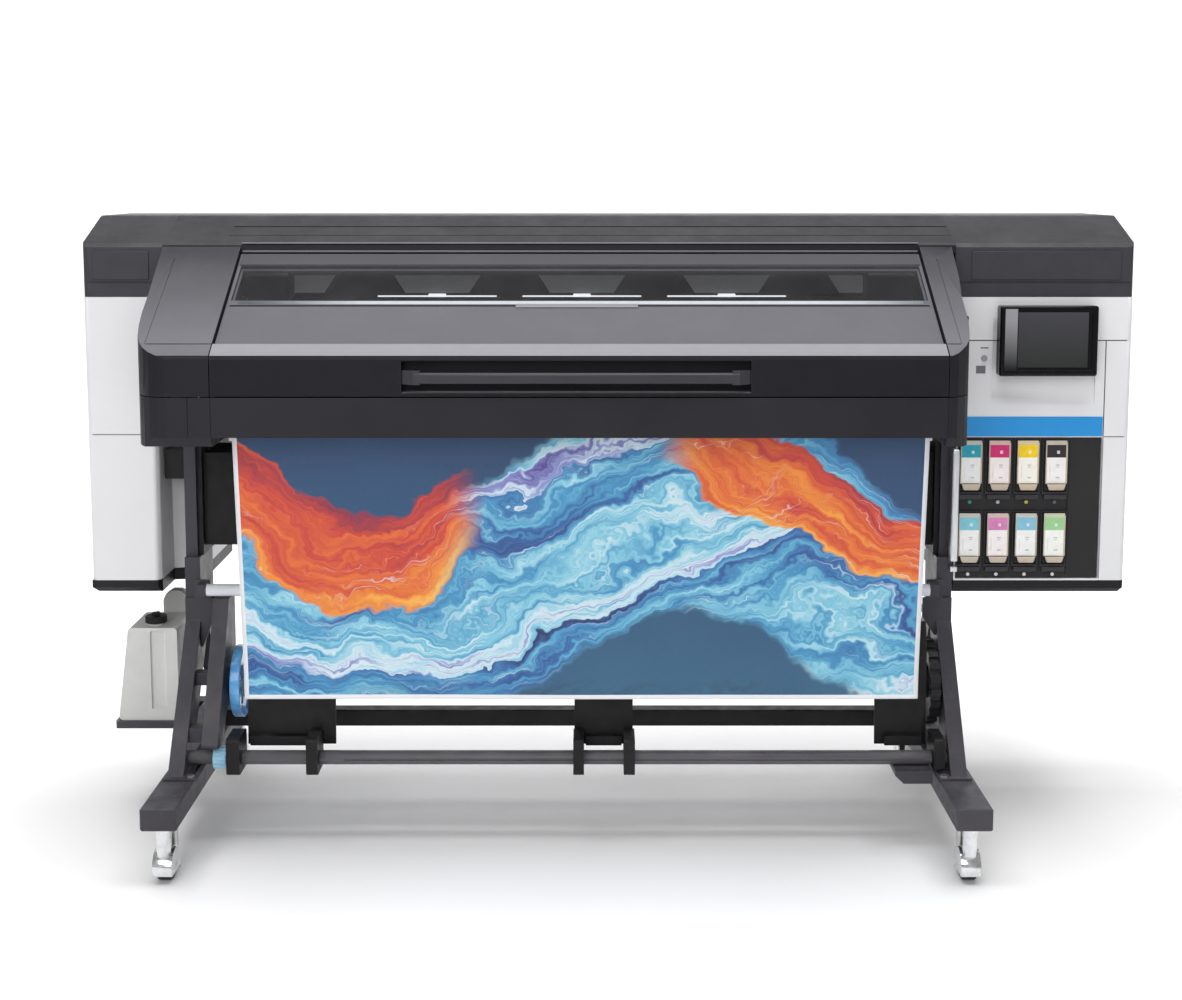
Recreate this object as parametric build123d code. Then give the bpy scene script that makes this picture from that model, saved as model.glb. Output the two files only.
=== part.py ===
from build123d import *
import math
import os

os.makedirs("parts", exist_ok=True)

# ------------------------------------------------------------------ sizes, mm
# Roll-fed wide-format printer with an internal cross-cutter and a floor stand.
# +X to the machine's right, +Y to its back, +Z up, origin on the floor under
# the middle of the overall box.
HALF_W = 1210.0          # half the body's width
FRONT_Y = -35.0          # front face of the two end housings
BACK_Y = 400.0           # back face of the body
TOP_Z = 1432.0           # top of the lid
EAVE_Z = 1363.0          # top of the lid's front face
CAP_Z = 1249.0           # bottom of the lid and the end caps
BODY_Z = 583.0           # bottom of the housings
TRIM_H = 29.0            # height of the black trim under them
WALL = 5.0               # cover wall

FOOT_LEN = 850.0         # floor beam, front to back
FOOT_W = 79.0
FOOT_Z0, FOOT_Z1 = 130.0, 180.0
LFOOT_X, RFOOT_X = -966.5, 781.5
LEG_L, LEG_R = -990.0, 804.0         # outer faces of the two legs
HOUSE_X0 = 809.5                      # inner side of the right housing
CASTER_Y = 385.0
WHEEL_R, WHEEL_W = 32.5, 32.0
TRAIL = 20.0
STEM_R = 8.0
LEVEL_Y = 300.0

WEB_X0, WEB_X1 = -824.0, 700.0        # 1524 mm (60 inch) roll
CORE_R = 38.1                          # 3 inch roll core bore
DROP = 14.0                            # the shelf and window lie this far under the arms
LIFT_X0, LIFT_X1 = -840.0, 710.0      # lifting cover
COVER_Y = -392.0
NOSE_Z = 1151.0
SPLIT_Z = 1062.0
COVER_Z0 = 977.0
HINGE_Y, HINGE_Z = -45.0, 1363.0
SLOPE = (HINGE_Z - NOSE_Z) / (HINGE_Y - COVER_Y)

SPINDLE_Y, SPINDLE_Z = -60.0, 350.0   # take-up spindle
BAR_Y, BAR_Z, BAR_R = -190.0, 210.0, 16.0
SUPPLY_Y, SUPPLY_Z = 300.0, 720.0
ROLLER_Y, ROLLER_Z, ROLLER_R = 205.0, 985.0, 20.0
PINCH_R = 10.0
PINCH_Z = ROLLER_Z + ROLLER_R + PINCH_R + 0.5
ROD_Y, ROD_Z, ROD_R = 130.0, 1140.0, 12.0
FIT = 0.05                             # radial clearance of running fits

BAY_X0, BAY_X1, BAY_Z0, BAY_Z1 = 813.5, 1146.0, 589.0, 921.0
CART_W, CART_H = 54.0, 120.0
CART_X = [843.0, 909.0, 975.0, 1041.0]
CART_Z = [797.0, 625.5]
CART_Y0, CART_Y1 = -40.0, 200.0
SCR_X0, SCR_X1, SCR_Z0, SCR_Z1 = 895.0, 1120.0, 1069.0, 1231.0
BTN_X, BTN_Z, BTN_R = 869.0, 1106.5, 7.0


# ------------------------------------------------------------------ helpers
def bx(x0, x1, y0, y1, z0, z1):
    return Pos((x0 + x1) / 2, (y0 + y1) / 2, (z0 + z1) / 2) * Box(x1 - x0, y1 - y0, z1 - z0)


def face(pts):
    return make_face(Polyline(*[(p[0], p[1]) for p in pts], close=True))


def yz(pts, x0, x1):
    f = Plane(origin=(x0, 0, 0), x_dir=(0, 1, 0), z_dir=(1, 0, 0)) * face(pts)
    return extrude(f, amount=x1 - x0, dir=(1, 0, 0))


def xz(pts, y0, y1):
    f = Plane(origin=(0, y0, 0), x_dir=(1, 0, 0), z_dir=(0, -1, 0)) * face(pts)
    return extrude(f, amount=y1 - y0, dir=(0, 1, 0))


def xy(pts, z0, z1):
    return extrude(Plane(origin=(0, 0, z0)) * face(pts), amount=z1 - z0, dir=(0, 0, 1))


def cx(x0, x1, y, z, r):
    return Pos((x0 + x1) / 2, y, z) * (Rot(0, 90, 0) * Cylinder(r, x1 - x0))


def cy(x, y0, y1, z, r):
    return Pos(x, (y0 + y1) / 2, z) * (Rot(90, 0, 0) * Cylinder(r, y1 - y0))


def cz(x, y, z0, z1, r):
    return Pos(x, y, (z0 + z1) / 2) * Cylinder(r, z1 - z0)


def soft(s, edges, r):
    try:
        t = fillet(edges, r)
        if t.is_valid:
            return t
    except Exception:
        pass
    print("fillet left out", r)
    return s


def rb(x0, x1, y0, y1, z0, z1, r, axes="XYZ"):
    s = bx(x0, x1, y0, y1, z0, z1)
    es = []
    for a in axes:
        es += list(s.edges().filter_by({"X": Axis.X, "Y": Axis.Y, "Z": Axis.Z}[a]))
    return soft(s, es, r)


def near(s, axis, conds):
    """edges along an axis whose centre meets every condition"""
    return [e for e in s.edges().filter_by(axis) if all(c(e.center()) for c in conds)]


def save(name, shape):
    solids = shape.solids() if hasattr(shape, "solids") else shape
    out = solids[0] if len(solids) == 1 else Compound(children=list(solids))
    export_step(out, f"parts/{name}.step")


def sl(y, drop=0.0):
    """height of the front slope at a depth"""
    return HINGE_Z + SLOPE * (y - HINGE_Y) - drop


# ------------------------------------------------------------------ stand
def foot(fx):
    s = bx(fx - FOOT_W / 2, fx + FOOT_W / 2, -FOOT_LEN / 2, FOOT_LEN / 2, FOOT_Z0, FOOT_Z1)
    s = soft(s, s.edges().filter_by(Axis.Y), 5)
    s = chamfer(s.faces().sort_by(Axis.Y)[0].edges(), 2.5)
    s = chamfer(s.faces().sort_by(Axis.Y)[-1].edges(), 2.5)
    for sy in (-1, 1):
        s -= cz(fx, sy * CASTER_Y, FOOT_Z0 - 1, FOOT_Z0 + 28, STEM_R + FIT)
        s -= cz(fx, sy * LEVEL_Y, FOOT_Z0 - 1, FOOT_Z0 + 32, 10.02)
    return s


save("left_foot", foot(LFOOT_X))
save("right_foot", foot(RFOOT_X))

level = []
for fx in (LFOOT_X, RFOOT_X):
    for sy in (-1, 1):
        p = cz(fx, sy * LEVEL_Y, 10, FOOT_Z0 + 30, 10.0) + cz(fx, sy * LEVEL_Y, 0, 11, 13.5)
        p += extrude(Plane(origin=(fx, sy * LEVEL_Y, FOOT_Z0 - 14)) * RegularPolygon(15, 6), amount=10)
        level.append(p)
save("leveling_feet", Compound(children=[p.solid() for p in level]))


def fork(fx, y0, s):
    """swivel fork with a hood, wheel trailing towards s*Y"""
    wy = y0 + s * TRAIL
    hood = cx(fx - 21.5, fx + 21.5, wy, WHEEL_R, 39.5) - cx(fx - 18.5, fx + 18.5, wy, WHEEL_R, 36)
    hood -= bx(fx - 40, fx + 40, wy - 60, wy + 60, -20, 19)
    hood -= yz([(wy + s * 60, -10), (wy + s * 6, 19), (wy + s * 30, 66), (wy + s * 60, 66)], fx - 18.5, fx + 18.5)
    f = hood + cz(fx, y0, 62, FOOT_Z0 - 9, 16) + cz(fx, y0, FOOT_Z0 - 9, FOOT_Z0 - 0.6, 19)
    f += cz(fx, y0, FOOT_Z0 - 9, FOOT_Z0 + 25, STEM_R)
    f -= cx(fx - 18.5, fx + 18.5, wy, WHEEL_R, 36)
    f -= cx(fx - 30, fx + 30, wy, WHEEL_R, 5 + FIT)
    return f


def wheel(fx, y0, s):
    wy = y0 + s * TRAIL
    w = cx(fx - WHEEL_W / 2, fx + WHEEL_W / 2, wy, WHEEL_R, WHEEL_R)
    w = soft(w, w.edges().filter_by(GeomType.CIRCLE), 5)
    for sx in (-1, 1):
        w -= cx(fx + sx * WHEEL_W / 2 - 3, fx + sx * WHEEL_W / 2 + 3, wy, WHEEL_R, 20)
    w += cx(fx - 21.5, fx + 21.5, wy, WHEEL_R, 5)
    return w


for tag, fx, y0, s in (("front_left", LFOOT_X, -CASTER_Y, 1), ("front_right", RFOOT_X, -CASTER_Y, 1),
                       ("rear_left", LFOOT_X, CASTER_Y, -1), ("rear_right", RFOOT_X, CASTER_Y, -1)):
    save("caster_fork_" + tag, fork(fx, y0, s))
    save("caster_wheel_" + tag, wheel(fx, y0, s))


def leg(m):
    """A-frame leg, m = -1 left, +1 right; X measured from the outer face"""
    out = LEG_L if m < 0 else LEG_R
    def X(a, b):
        p, q = out - m * a, out - m * b
        return (min(p, q), max(p, q))
    a, b = X(0, 36)
    s = yz([(-45, 640), (-45, 500), (-250, 186), (-165, 186), (20, 462),
            (205, 186), (290, 186), (85, 500), (85, 640)], a, b)
    s += yz([(-185, 204), (225, 204), (200, 244), (-160, 244)], a, b)
    # ridge down the front of the two struts
    a, b = X(0, 28)
    s += bx(a, b, -30, 70, 640, 958)
    # wide gusset at the front with a slanted lower edge
    a, b = X(0, 68)
    g = xz([(out, 545), (out - m * 68, 545), (out - m * 68, 500), (out - m * 40, 428 if m < 0 else 456), (out, 418 if m < 0 else 446)], -51, -45)
    g += bx(*X(22, 60), -51, -45, 540, 588)
    s += g
    s += bx(*X(36, 66), -45, 20, 506, 512)
    # holder of the media bar
    s += bx(*X(36, 57), -86, -45, 555, 584)
    s -= cx(out - 60, out + 60, -74, 569.5, 6.05) & bx(*X(36.0, 58), -90, -60, 550, 590)
    # floor plates
    for y0, y1 in ((-262, -148), (188, 302)):
        a, b = X(-8, 70 if m < 0 else 62)
        p = bx(a, b, y0, y1, 180, 186)
        for yy in (y0 + 12, y1 - 12):
            p -= cz(out - m * 52, yy, 175, 190, 5.5)
        s += p
    if m > 0:
        s -= cx(out - 40, out - 20, SPINDLE_Y, SPINDLE_Z, 14)
    return s


save("left_leg", leg(-1))
save("right_leg", leg(1))
IN_L, IN_R = LEG_L + 36, LEG_R - 36                  # inner faces of the struts

save("cross_brace", rb(IN_L, IN_R, 40, 80, 204, 244, 4, "X"))

bolts = []
for m, out in ((-1, LEG_L), (1, LEG_R)):
    for yy in (-250, -160, 200, 290):
        h = extrude(Plane(origin=(out - m * 52, yy, 186)) * RegularPolygon(9, 6), amount=4.4)
        bolts.append((h + cz(out - m * 52, yy, 180, 186, 5.4)).solid())
    for zz in ((480, 520, 600, 630) if m < 0 else (480, 515)):
        c0, c1 = (out - 5, out) if m < 0 else (out, out + 5)
        bolts.append(cx(c0, c1, 20, zz, 8).solid())
save("frame_bolts", Compound(children=bolts))

# ------------------------------------------------------------------ take-up
arm_x0, arm_x1 = LEG_L + 73, LEG_L + 109
arm = yz([(-235, 241), (-168, 241), (-125, 300), (-15, 322), (-15, 548), (-76, 548), (-115, 470)], arm_x0, arm_x1)
arm = soft(arm, near(arm, Axis.X, [lambda c: c.Y < -100]), 8)
arm += bx(IN_L, arm_x0, -108, -76, 352, 381)
arm += bx(IN_L, arm_x0, -188, -152, 243, 276)
arm += bx(IN_L, arm_x0, -45, -15, 522, 546)
arm += bx(IN_L + 16, IN_L + 26, -70, -58, 276, 352 + 8) + bx(IN_L + 16, IN_L + 26, -84, -70, 352, 362)
arm -= cx(arm_x0 - 1, arm_x1 + 1, SPINDLE_Y, SPINDLE_Z, 12 + FIT)
plate = rb(IN_R - 6, IN_R, -112, -8, 298, 402, 12, "X")
plate -= cx(IN_R - 7, IN_R + 1, SPINDLE_Y, SPINDLE_Z, 12 + FIT)
motor = yz([(-232, 163), (-150, 163), (-142, 193.5), (-238, 193.5)], 645, 730)
motor = chamfer(motor.faces().sort_by(Axis.X)[0].edges().sort_by(Axis.Z)[:1], 20)
save("takeup_supports", Compound(children=[arm.solid(), plate.solid(), motor.solid()]))

SP0, SP1 = arm_x0 - 1, IN_R - 0.4
DISC_X0, DISC_X1 = arm_x1 + 2, arm_x1 + 33
WHL_X0, WHL_X1 = IN_R - 30, IN_R - 7
sp = cx(SP0, SP1, SPINDLE_Y, SPINDLE_Z, 12)
tube = cx(DISC_X1, WHL_X0, SPINDLE_Y, SPINDLE_Z, CORE_R) - cx(DISC_X1 + 6, WHL_X0 - 6, SPINDLE_Y, SPINDLE_Z, 34)
save("takeup_spindle", sp + tube)
disc = cx(DISC_X0 + 8, DISC_X1, SPINDLE_Y, SPINDLE_Z, 84)
disc = soft(disc, disc.edges().filter_by(GeomType.CIRCLE), 2.5)
disc += cx(DISC_X0, DISC_X0 + 9, SPINDLE_Y, SPINDLE_Z, 34)
disc -= cx(DISC_X0 - 1, DISC_X1 + 1, SPINDLE_Y, SPINDLE_Z, 12)
for k in range(6):
    a = math.radians(60 * k + 30)
    disc -= cx(DISC_X0 - 1, DISC_X1 + 1, SPINDLE_Y + 58 * math.cos(a), SPINDLE_Z + 58 * math.sin(a), 13)
save("takeup_flange", disc)
whl = cx(WHL_X0, WHL_X1, SPINDLE_Y, SPINDLE_Z, 92)
for k in range(20):
    a = 18.0 * k
    tooth = Pos(0, 0, 0) * Box(WHL_X1 - WHL_X0, 16, 20)
    tooth = Pos((WHL_X0 + WHL_X1) / 2, SPINDLE_Y, SPINDLE_Z) * (Rot(a, 0, 0) * (Pos(0, 0, 89) * tooth))
    whl += tooth
whl -= cx(WHL_X0 - 1, WHL_X0 + 9, SPINDLE_Y, SPINDLE_Z, 74) - cx(WHL_X0 - 1, WHL_X0 + 9, SPINDLE_Y, SPINDLE_Z, 40)
whl -= cx(WHL_X0 - 1, WHL_X1 + 1, SPINDLE_Y, SPINDLE_Z, 12)
save("takeup_drive_wheel", whl)

bar = cx(IN_L, IN_R, BAR_Y, BAR_Z, BAR_R)
bar -= bx(-600, 720, BAR_Y - BAR_R - 1, BAR_Y - BAR_R + 3, BAR_Z - 3, BAR_Z + 1)
save("deflector_bar", bar)

RING_X0, RING_X1 = LEG_L + 94, LEG_L + 123
ring = cx(RING_X0, RING_X1, BAR_Y, BAR_Z, 26)
for k in range(12):
    a = math.radians(30 * k)
    ring -= cx(RING_X0 + 4, RING_X1 + 1, BAR_Y + 27.5 * math.cos(a), BAR_Z + 27.5 * math.sin(a), 3)
ring -= cx(RING_X0 - 1, RING_X1 + 1, BAR_Y, BAR_Z, BAR_R + FIT)
save("lock_ring", ring)


def clamp(x0, x1, y0=-232, y1=-146, z0=181, z1=265):
    s = rb(x0, x1, y0, y1, z0, z1, 9, "X")
    s -= cx(x0 - 1, x1 + 1, BAR_Y, BAR_Z, BAR_R)
    s -= bx(x0 - 1, x1 + 1, BAR_Y - 2, BAR_Y + 2, z0 - 1, BAR_Z - 10)
    return s


CLAMPS = [(LEG_L + 128, LEG_L + 158), (-682, -656), (-80, -56), (34, 59), (733, 757)]
PANELS = [(-829, -627, -820, -683), (-78, 56, -52, 30), (612, 730, 632, 716)]
defl = [clamp(*c) for c in CLAMPS[:-1]] + [clamp(*CLAMPS[-1], z0=191)]
for x0, x1, b0, b1 in PANELS:
    p = yz([(-146, 226), (-141, 226), (-134, 330), (-134, 460), (-116, 505), (-120, 508), (-139, 462), (-139, 331)], x0, x1)
    p += bx(b0, b1, -166, -144.5, 229, 250)
    defl.append(p)
save("media_deflectors", Compound(children=[s for d in defl for s in d.solids()]))

save("diverter_bar", cx(LEG_L + 58, LEG_R - 58, -74, 569.5, 14) + cx(LEG_L + 36.5, LEG_R - 36.5, -74, 569.5, 6))

# ------------------------------------------------------------------ chassis
PL0, PL1 = LEG_L + 28, LEG_L + 40
PR0, PR1 = LEG_R - 40, LEG_R - 28
beam = bx(PL1, PR0, 0, 150, 660, 880) - bx(PL1 - 1, PR0 + 1, 5, 145, 665, 875)


def side_plate(x0, x1):
    s = bx(x0, x1, -20, 392, 640, 1000)
    s += bx(x0, x1, ROLLER_Y - 12, ROLLER_Y + 12, 1000, 1028)
    s -= cx(x0 - 1, x1 + 1, ROLLER_Y, ROLLER_Z, 8 + FIT)
    s -= cx(x0 - 1, x1 + 1, ROLLER_Y, PINCH_Z, 4 + FIT)
    s -= cx(x0 - 1, x1 + 1, SUPPLY_Y, SUPPLY_Z, 15 + FIT)
    return s


lp, rp = side_plate(PL0, PL1), side_plate(PR0, PR1)
posts = []
for p0 in (PL0, PR0 - 12):
    posts.append(bx(p0, p0 + 20, 236, 262, 1000, 1340))
blk = bx(-1044, LEG_L - 1.5, 10, 78, 816, 885)
chassis = beam + lp + rp
for p in posts:
    chassis += p
chassis += bx(LEG_L - 4, PL0, 72, 84, 816, 885) + blk
save("chassis_frame", chassis)

save("guide_rails", (bx(-1000, 1120, 186, 236, 1090, 1345) - bx(-1010, 1130, 190, 232, 1094, 1341))
     + cx(-1000, 1120, ROD_Y, ROD_Z, ROD_R)
     + bx(-1000, -985, 112, 186, 1112, 1168) + bx(1105, 1120, 112, 186, 1112, 1168))

plat = yz([(-248, 986), (-260, 975), (-260, 950), (-254, 950), (-254, 972), (-244, 981), (176, 981), (176, 1000), (-244, 1000), (-252, 996)], -832, 706)
for k in range(14):
    plat -= bx(-800 + k * 107, -790 + k * 107, -180, 150, 996, 1001)
save("platen", plat)

dr = cx(-835, 710, ROLLER_Y, ROLLER_Z, ROLLER_R) + cx(PL0 - 2, PR1 + 2, ROLLER_Y, ROLLER_Z, 8)
save("drive_roller", dr)
pin = cx(PL0 - 2, PR1 + 2, ROLLER_Y, PINCH_Z, 4)
for k in range(8):
    x0 = -815 + k * 190
    pin += cx(x0, x0 + 150, ROLLER_Y, PINCH_Z, PINCH_R)
save("pinch_rollers", pin)

CAR_X0, CAR_X1 = 845.0, 1015.0
car = rb(CAR_X0, CAR_X1, -16, 165, 1024, 1222, 8, "X")
for k in range(4):
    car -= bx(CAR_X0 + 14 + k * 38, CAR_X0 + 40 + k * 38, 0, 90, 1023, 1030)
car -= cx(CAR_X0 - 1, CAR_X1 + 1, ROD_Y, ROD_Z, ROD_R + FIT)
for k in range(4):
    car += bx(CAR_X0 + 17 + k * 38, CAR_X0 + 37 + k * 38, 4, 86, 1014, 1031)
save("print_carriage", car)
cut = bx(CAR_X0 - 34, CAR_X0, 20, 80, 1040, 1100) + cx(CAR_X0 - 22, CAR_X0 - 18, 50, 1028, 22)
cut += bx(CAR_X0 - 30, CAR_X0 - 10, 40, 60, 1020, 1045)
save("cutter_module", cut)

serv = bx(840, 1020, -16, 160, 925, 1000) - bx(846, 1014, -10, 154, 931, 1001)
for k in range(4):
    serv += bx(CAR_X0 + 16 + k * 38, CAR_X0 + 38 + k * 38, 2, 88, 930, 1008)
save("service_station", serv)

cm = bx(-842, 712, -335, -205, 1028, 1112) - bx(-850, 720, -331, -209, 1032, 1108)
for k in range(20):
    cm -= bx(-800 + k * 75, -750 + k * 75, -300, -240, 1020, 1033)
save("curing_module", cm)

# web from the platen, over its nose and down in front
t = 0.9
web = [(175, 1000.6), (-243, 1000.6), (-255, 996.5), (-262.5, 984), (-263.5, 955), (-245, 800), (-222, 620), (-200, 440), (-192, 348)]


def ribbon(pts, t):
    l, r = [], []
    for i, p in enumerate(pts):
        a = pts[max(i - 1, 0)]
        b = pts[min(i + 1, len(pts) - 1)]
        dy, dz = b[0] - a[0], b[1] - a[1]
        n = math.hypot(dy, dz)
        ny, nz = -dz / n, dy / n
        l.append((p[0], p[1]))
        r.append((p[0] - ny * t, p[1] - nz * t))
    return l + r[::-1]


save("printed_media", yz(ribbon(web, t), WEB_X0, WEB_X1))

sup = cx(PL0 - 1.5, PR1 + 1.5, SUPPLY_Y, SUPPLY_Z, 15)
for x0 in (WEB_X0 - 12, WEB_X1 + 2):
    d = cx(x0, x0 + 10, SUPPLY_Y, SUPPLY_Z, 92)
    sup += soft(d, d.edges().filter_by(GeomType.CIRCLE), 3)
sup += cx(WEB_X0 - 2, WEB_X0 + 60, SUPPLY_Y, SUPPLY_Z, CORE_R - 0.1) + cx(WEB_X1 - 60, WEB_X1 + 2, SUPPLY_Y, SUPPLY_Z, CORE_R - 0.1)
save("supply_spindle", sup)
save("supply_roll", cx(WEB_X0, WEB_X1, SUPPLY_Y, SUPPLY_Z, 78) - cx(WEB_X0 - 1, WEB_X1 + 1, SUPPLY_Y, SUPPLY_Z, CORE_R))


# ------------------------------------------------------------------ covers
def cap(x0, x1, side):
    prof = [(FRONT_Y, CAP_Z), (FRONT_Y, EAVE_Z), (FRONT_Y + 10, EAVE_Z + 9), (120, TOP_Z - 4), (132, TOP_Z), (BACK_Y - 12, TOP_Z), (BACK_Y, TOP_Z - 12), (BACK_Y, CAP_Z)]
    s = yz(prof, x0, x1)
    outer = (lambda c: c.X < x0 + 1) if side < 0 else (lambda c: c.X > x1 - 1)
    s = soft(s, near(s, Axis.Z, [outer, lambda c: c.Y < 0]), 16)
    s = soft(s, near(s, Axis.Z, [outer, lambda c: c.Y > 300]), 16)
    inn = [(FRONT_Y + WALL, CAP_Z - 1), (FRONT_Y + WALL, EAVE_Z - 3), (122, TOP_Z - 9 - 1), (BACK_Y - WALL - 6, TOP_Z - 10), (BACK_Y - WALL, TOP_Z - 18), (BACK_Y - WALL, CAP_Z - 1)]
    i0, i1 = (x0 + WALL + 8, x1 + 1) if side < 0 else (x0 - 1, x1 - WALL - 8)
    s -= yz(inn, i0, i1)
    # seam round the lower band
    s -= bx(x0 - 5, x1 + 5, FRONT_Y - 1, FRONT_Y + 2, 1281, 1284)
    return s


capl = cap(-HALF_W, -1023, -1)
capr = cap(797, HALF_W, 1)
for c0, c1, c in ((-1182, -1052, "l"), (830, 1176, "r")):
    ridge = bx(c0, c1, FRONT_Y + 0.001, FRONT_Y + 1, 1286, 1356)
fl = rb(-1184, -1056, FRONT_Y - 3, FRONT_Y + 1, 1289, 1354, 1.4)
fr = rb(835, 1178, FRONT_Y - 3, FRONT_Y + 1, 1289, 1354, 1.4)
save("end_caps", Compound(children=[(capl + fl).solid(), (capr + fr).solid()]))

lid = yz([(-41, 1350), (-41, 1368), (-34, 1373), (120, TOP_Z - 4), (132, TOP_Z), (BACK_Y - 12, TOP_Z), (BACK_Y, TOP_Z - 12), (BACK_Y, 1350),
          (BACK_Y - 6, 1350), (BACK_Y - 6, TOP_Z - 14), (BACK_Y - 14, TOP_Z - 8), (133, TOP_Z - 8), (-33, 1365), (-33, 1350)], -1022.6, 796.6)
lid -= yz([(60, 1405.5), (66, 1405.5), (66, 1416), (60, 1414)], -880, 797)
lid -= yz([(8, 1385.5), (11, 1386.5), (11, 1397), (8, 1397)], -880, 797)
save("top_lid", lid)

rear = bx(-1051, HOUSE_X0 - 0.5, 394, BACK_Y, 905, CAP_Z - 0.5) + bx(-1022.5, 796.5, 394, BACK_Y, CAP_Z - 0.5, 1349)
for r in range(3):
    for k in range(12):
        rear -= bx(-760 + k * 14, -753 + k * 14, 390, 405, 980 + r * 70, 1030 + r * 70)
        rear -= bx(420 + k * 14, 427 + k * 14, 390, 405, 980 + r * 70, 1030 + r * 70)
rear -= bx(-420, 150, 398, 401, 1200, 1260)
save("rear_cover", rear)


# rounded plan outlines of the two arms, back to front, then the inner side
PLAN_L = [(-1021, -42), (-1014, -200), (-1013, -264), (-1010, -300), (-1004, -333), (-996, -352), (-985, -368), (-970, -381), (-952, -389), (-935, COVER_Y), (-842, COVER_Y), (-842, -42)]
PLAN_R = [(786, -42), (781, -150), (774, -210), (772, -290), (767, -322), (761, -346), (752, -362), (740, -375), (732, -383), (712, COVER_Y), (712, -42)]
PLAN_ALL = PLAN_L[:-2] + PLAN_R[:-1][::-1]


def inset(pts, d):
    """closed outline moved inwards by d"""
    n = len(pts)
    area = sum(pts[i][0] * pts[(i + 1) % n][1] - pts[(i + 1) % n][0] * pts[i][1] for i in range(n))
    sg = 1 if area > 0 else -1
    out = []
    for i in range(n):
        (ax, ay), (bx_, by_), (cx_, cy_) = pts[i - 1], pts[i], pts[(i + 1) % n]
        l1, l2 = math.hypot(bx_ - ax, by_ - ay), math.hypot(cx_ - bx_, cy_ - by_)
        n1 = (-(by_ - ay) / l1 * sg, (bx_ - ax) / l1 * sg)
        n2 = (-(cy_ - by_) / l2 * sg, (cx_ - bx_) / l2 * sg)
        k = 1 + n1[0] * n2[0] + n1[1] * n2[1]
        out.append((bx_ + d * (n1[0] + n2[0]) / k, by_ + d * (n1[1] + n2[1]) / k))
    return out


def slope_prof(lo, drop, front=0.0, back=-42.0):
    return [(COVER_Y + front, lo), (COVER_Y + front, sl(COVER_Y + front, drop) - 7), (COVER_Y + front + 3, sl(COVER_Y + front + 3, drop) - 1.5),
            (COVER_Y + front + 12, sl(COVER_Y + front + 12, drop)), (back, sl(back, drop)), (back, lo)]


def side_arm(plan, x0, x1, outer):
    s = xy(plan, SPLIT_Z + 2, 1400) & yz(slope_prof(SPLIT_Z + 2, 0), x0 - 40, x1 + 40)
    s = s.solid()
    s = soft(s, [e for e in s.edges() if e.center().Z > sl(e.center().Y) - 3 and e.center().Y > -370 and e.center().Y < -60
                 and ((outer < 0 and e.center().X < -985) or (outer > 0 and e.center().X > 745))], 6)
    s -= xy(inset(plan, 6), SPLIT_Z, 1400) & yz(slope_prof(SPLIT_Z, 10, 6), x0 - 40, x1 + 40)
    # shallow inset line that follows the outline
    q0, q1 = (-984, x1) if outer < 0 else (x0, 744)
    y0, y1 = COVER_Y + 34, HINGE_Y - 40
    r0 = q0 if outer < 0 else q1 - 2.2
    s -= yz([(y0, sl(y0, 1.6)), (y0, sl(y0) + 5), (y1, sl(y1) + 5), (y1, sl(y1, 1.6))], r0, r0 + 2.2)
    s -= yz([(y0, sl(y0, 1.6)), (y0, sl(y0) + 5), (y0 + 2.4, sl(y0 + 2.4) + 5), (y0 + 2.4, sl(y0 + 2.4, 1.6))], q0, q1)
    return s


al = side_arm(PLAN_L, -1021, -842, -1)
ar = side_arm(PLAN_R, 712, 786, 1)
save("side_arms", Compound(children=[al.solid(), ar.solid()]))

# lower front cover: one skin round the outline, a lip under the front, a block under each arm
inner = [(x, y if y < -60 else 20.0) for x, y in inset(PLAN_ALL, 7)]
flc = xy(PLAN_ALL, COVER_Z0, SPLIT_Z) - xy(inner, COVER_Z0 - 1, SPLIT_Z + 1)
flc += xy(inset(PLAN_ALL, 1), COVER_Z0, COVER_Z0 + 6) & bx(-1040, 800, COVER_Y - 5, -276, COVER_Z0 - 5, COVER_Z0 + 10)
for plan in (PLAN_L, PLAN_R):
    ub = COVER_Z0 - 22
    blk = xy(plan, ub, COVER_Z0 + 1) & yz([(COVER_Y + 6, COVER_Z0 + 1), (COVER_Y + 24, ub), (-42, ub), (-42, COVER_Z0 + 1)], -1060, 820)
    blk -= xy(inset(plan, 6), ub + 6, COVER_Z0 + 2) & yz([(COVER_Y + 14, COVER_Z0 + 2), (COVER_Y + 32, ub + 6), (-48, ub + 6), (-48, COVER_Z0 + 2)], -1060, 820)
    flc += blk
for gx in (-888, -840, 711):
    flc -= bx(gx - 1, gx + 1, COVER_Y - 1, COVER_Y + 2, COVER_Z0 - 1, SPLIT_Z + 1)
save("front_lower_cover", flc)

# lifting cover: sloped frame, shelf, nose and front band with a recessed grip
PANE_Y0, PANE_Y1 = -202.0, -88.0
cov = yz([(COVER_Y, SPLIT_Z + 3), (COVER_Y, NOSE_Z - 8), (COVER_Y + 3, NOSE_Z), (COVER_Y + 12, sl(COVER_Y + 12)), (-356, sl(-356)), (-354, sl(-354, DROP)),
          (HINGE_Y - 1, sl(HINGE_Y - 1, DROP)), (HINGE_Y - 1, sl(HINGE_Y - 1, DROP + 12)), (-350, sl(-350, DROP + 12)), (-366, sl(-366, 14)),
          (COVER_Y + 14, sl(COVER_Y + 14, 13)), (COVER_Y + 8, NOSE_Z - 10), (COVER_Y + 8, SPLIT_Z + 3)], LIFT_X0, LIFT_X1)


def slope_slab(y0, y1, x0, x1, d0, d1):
    return yz([(y0, sl(y0, d1)), (y0, sl(y0, d0)), (y1, sl(y1, d0)), (y1, sl(y1, d1))], x0, x1)


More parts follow.
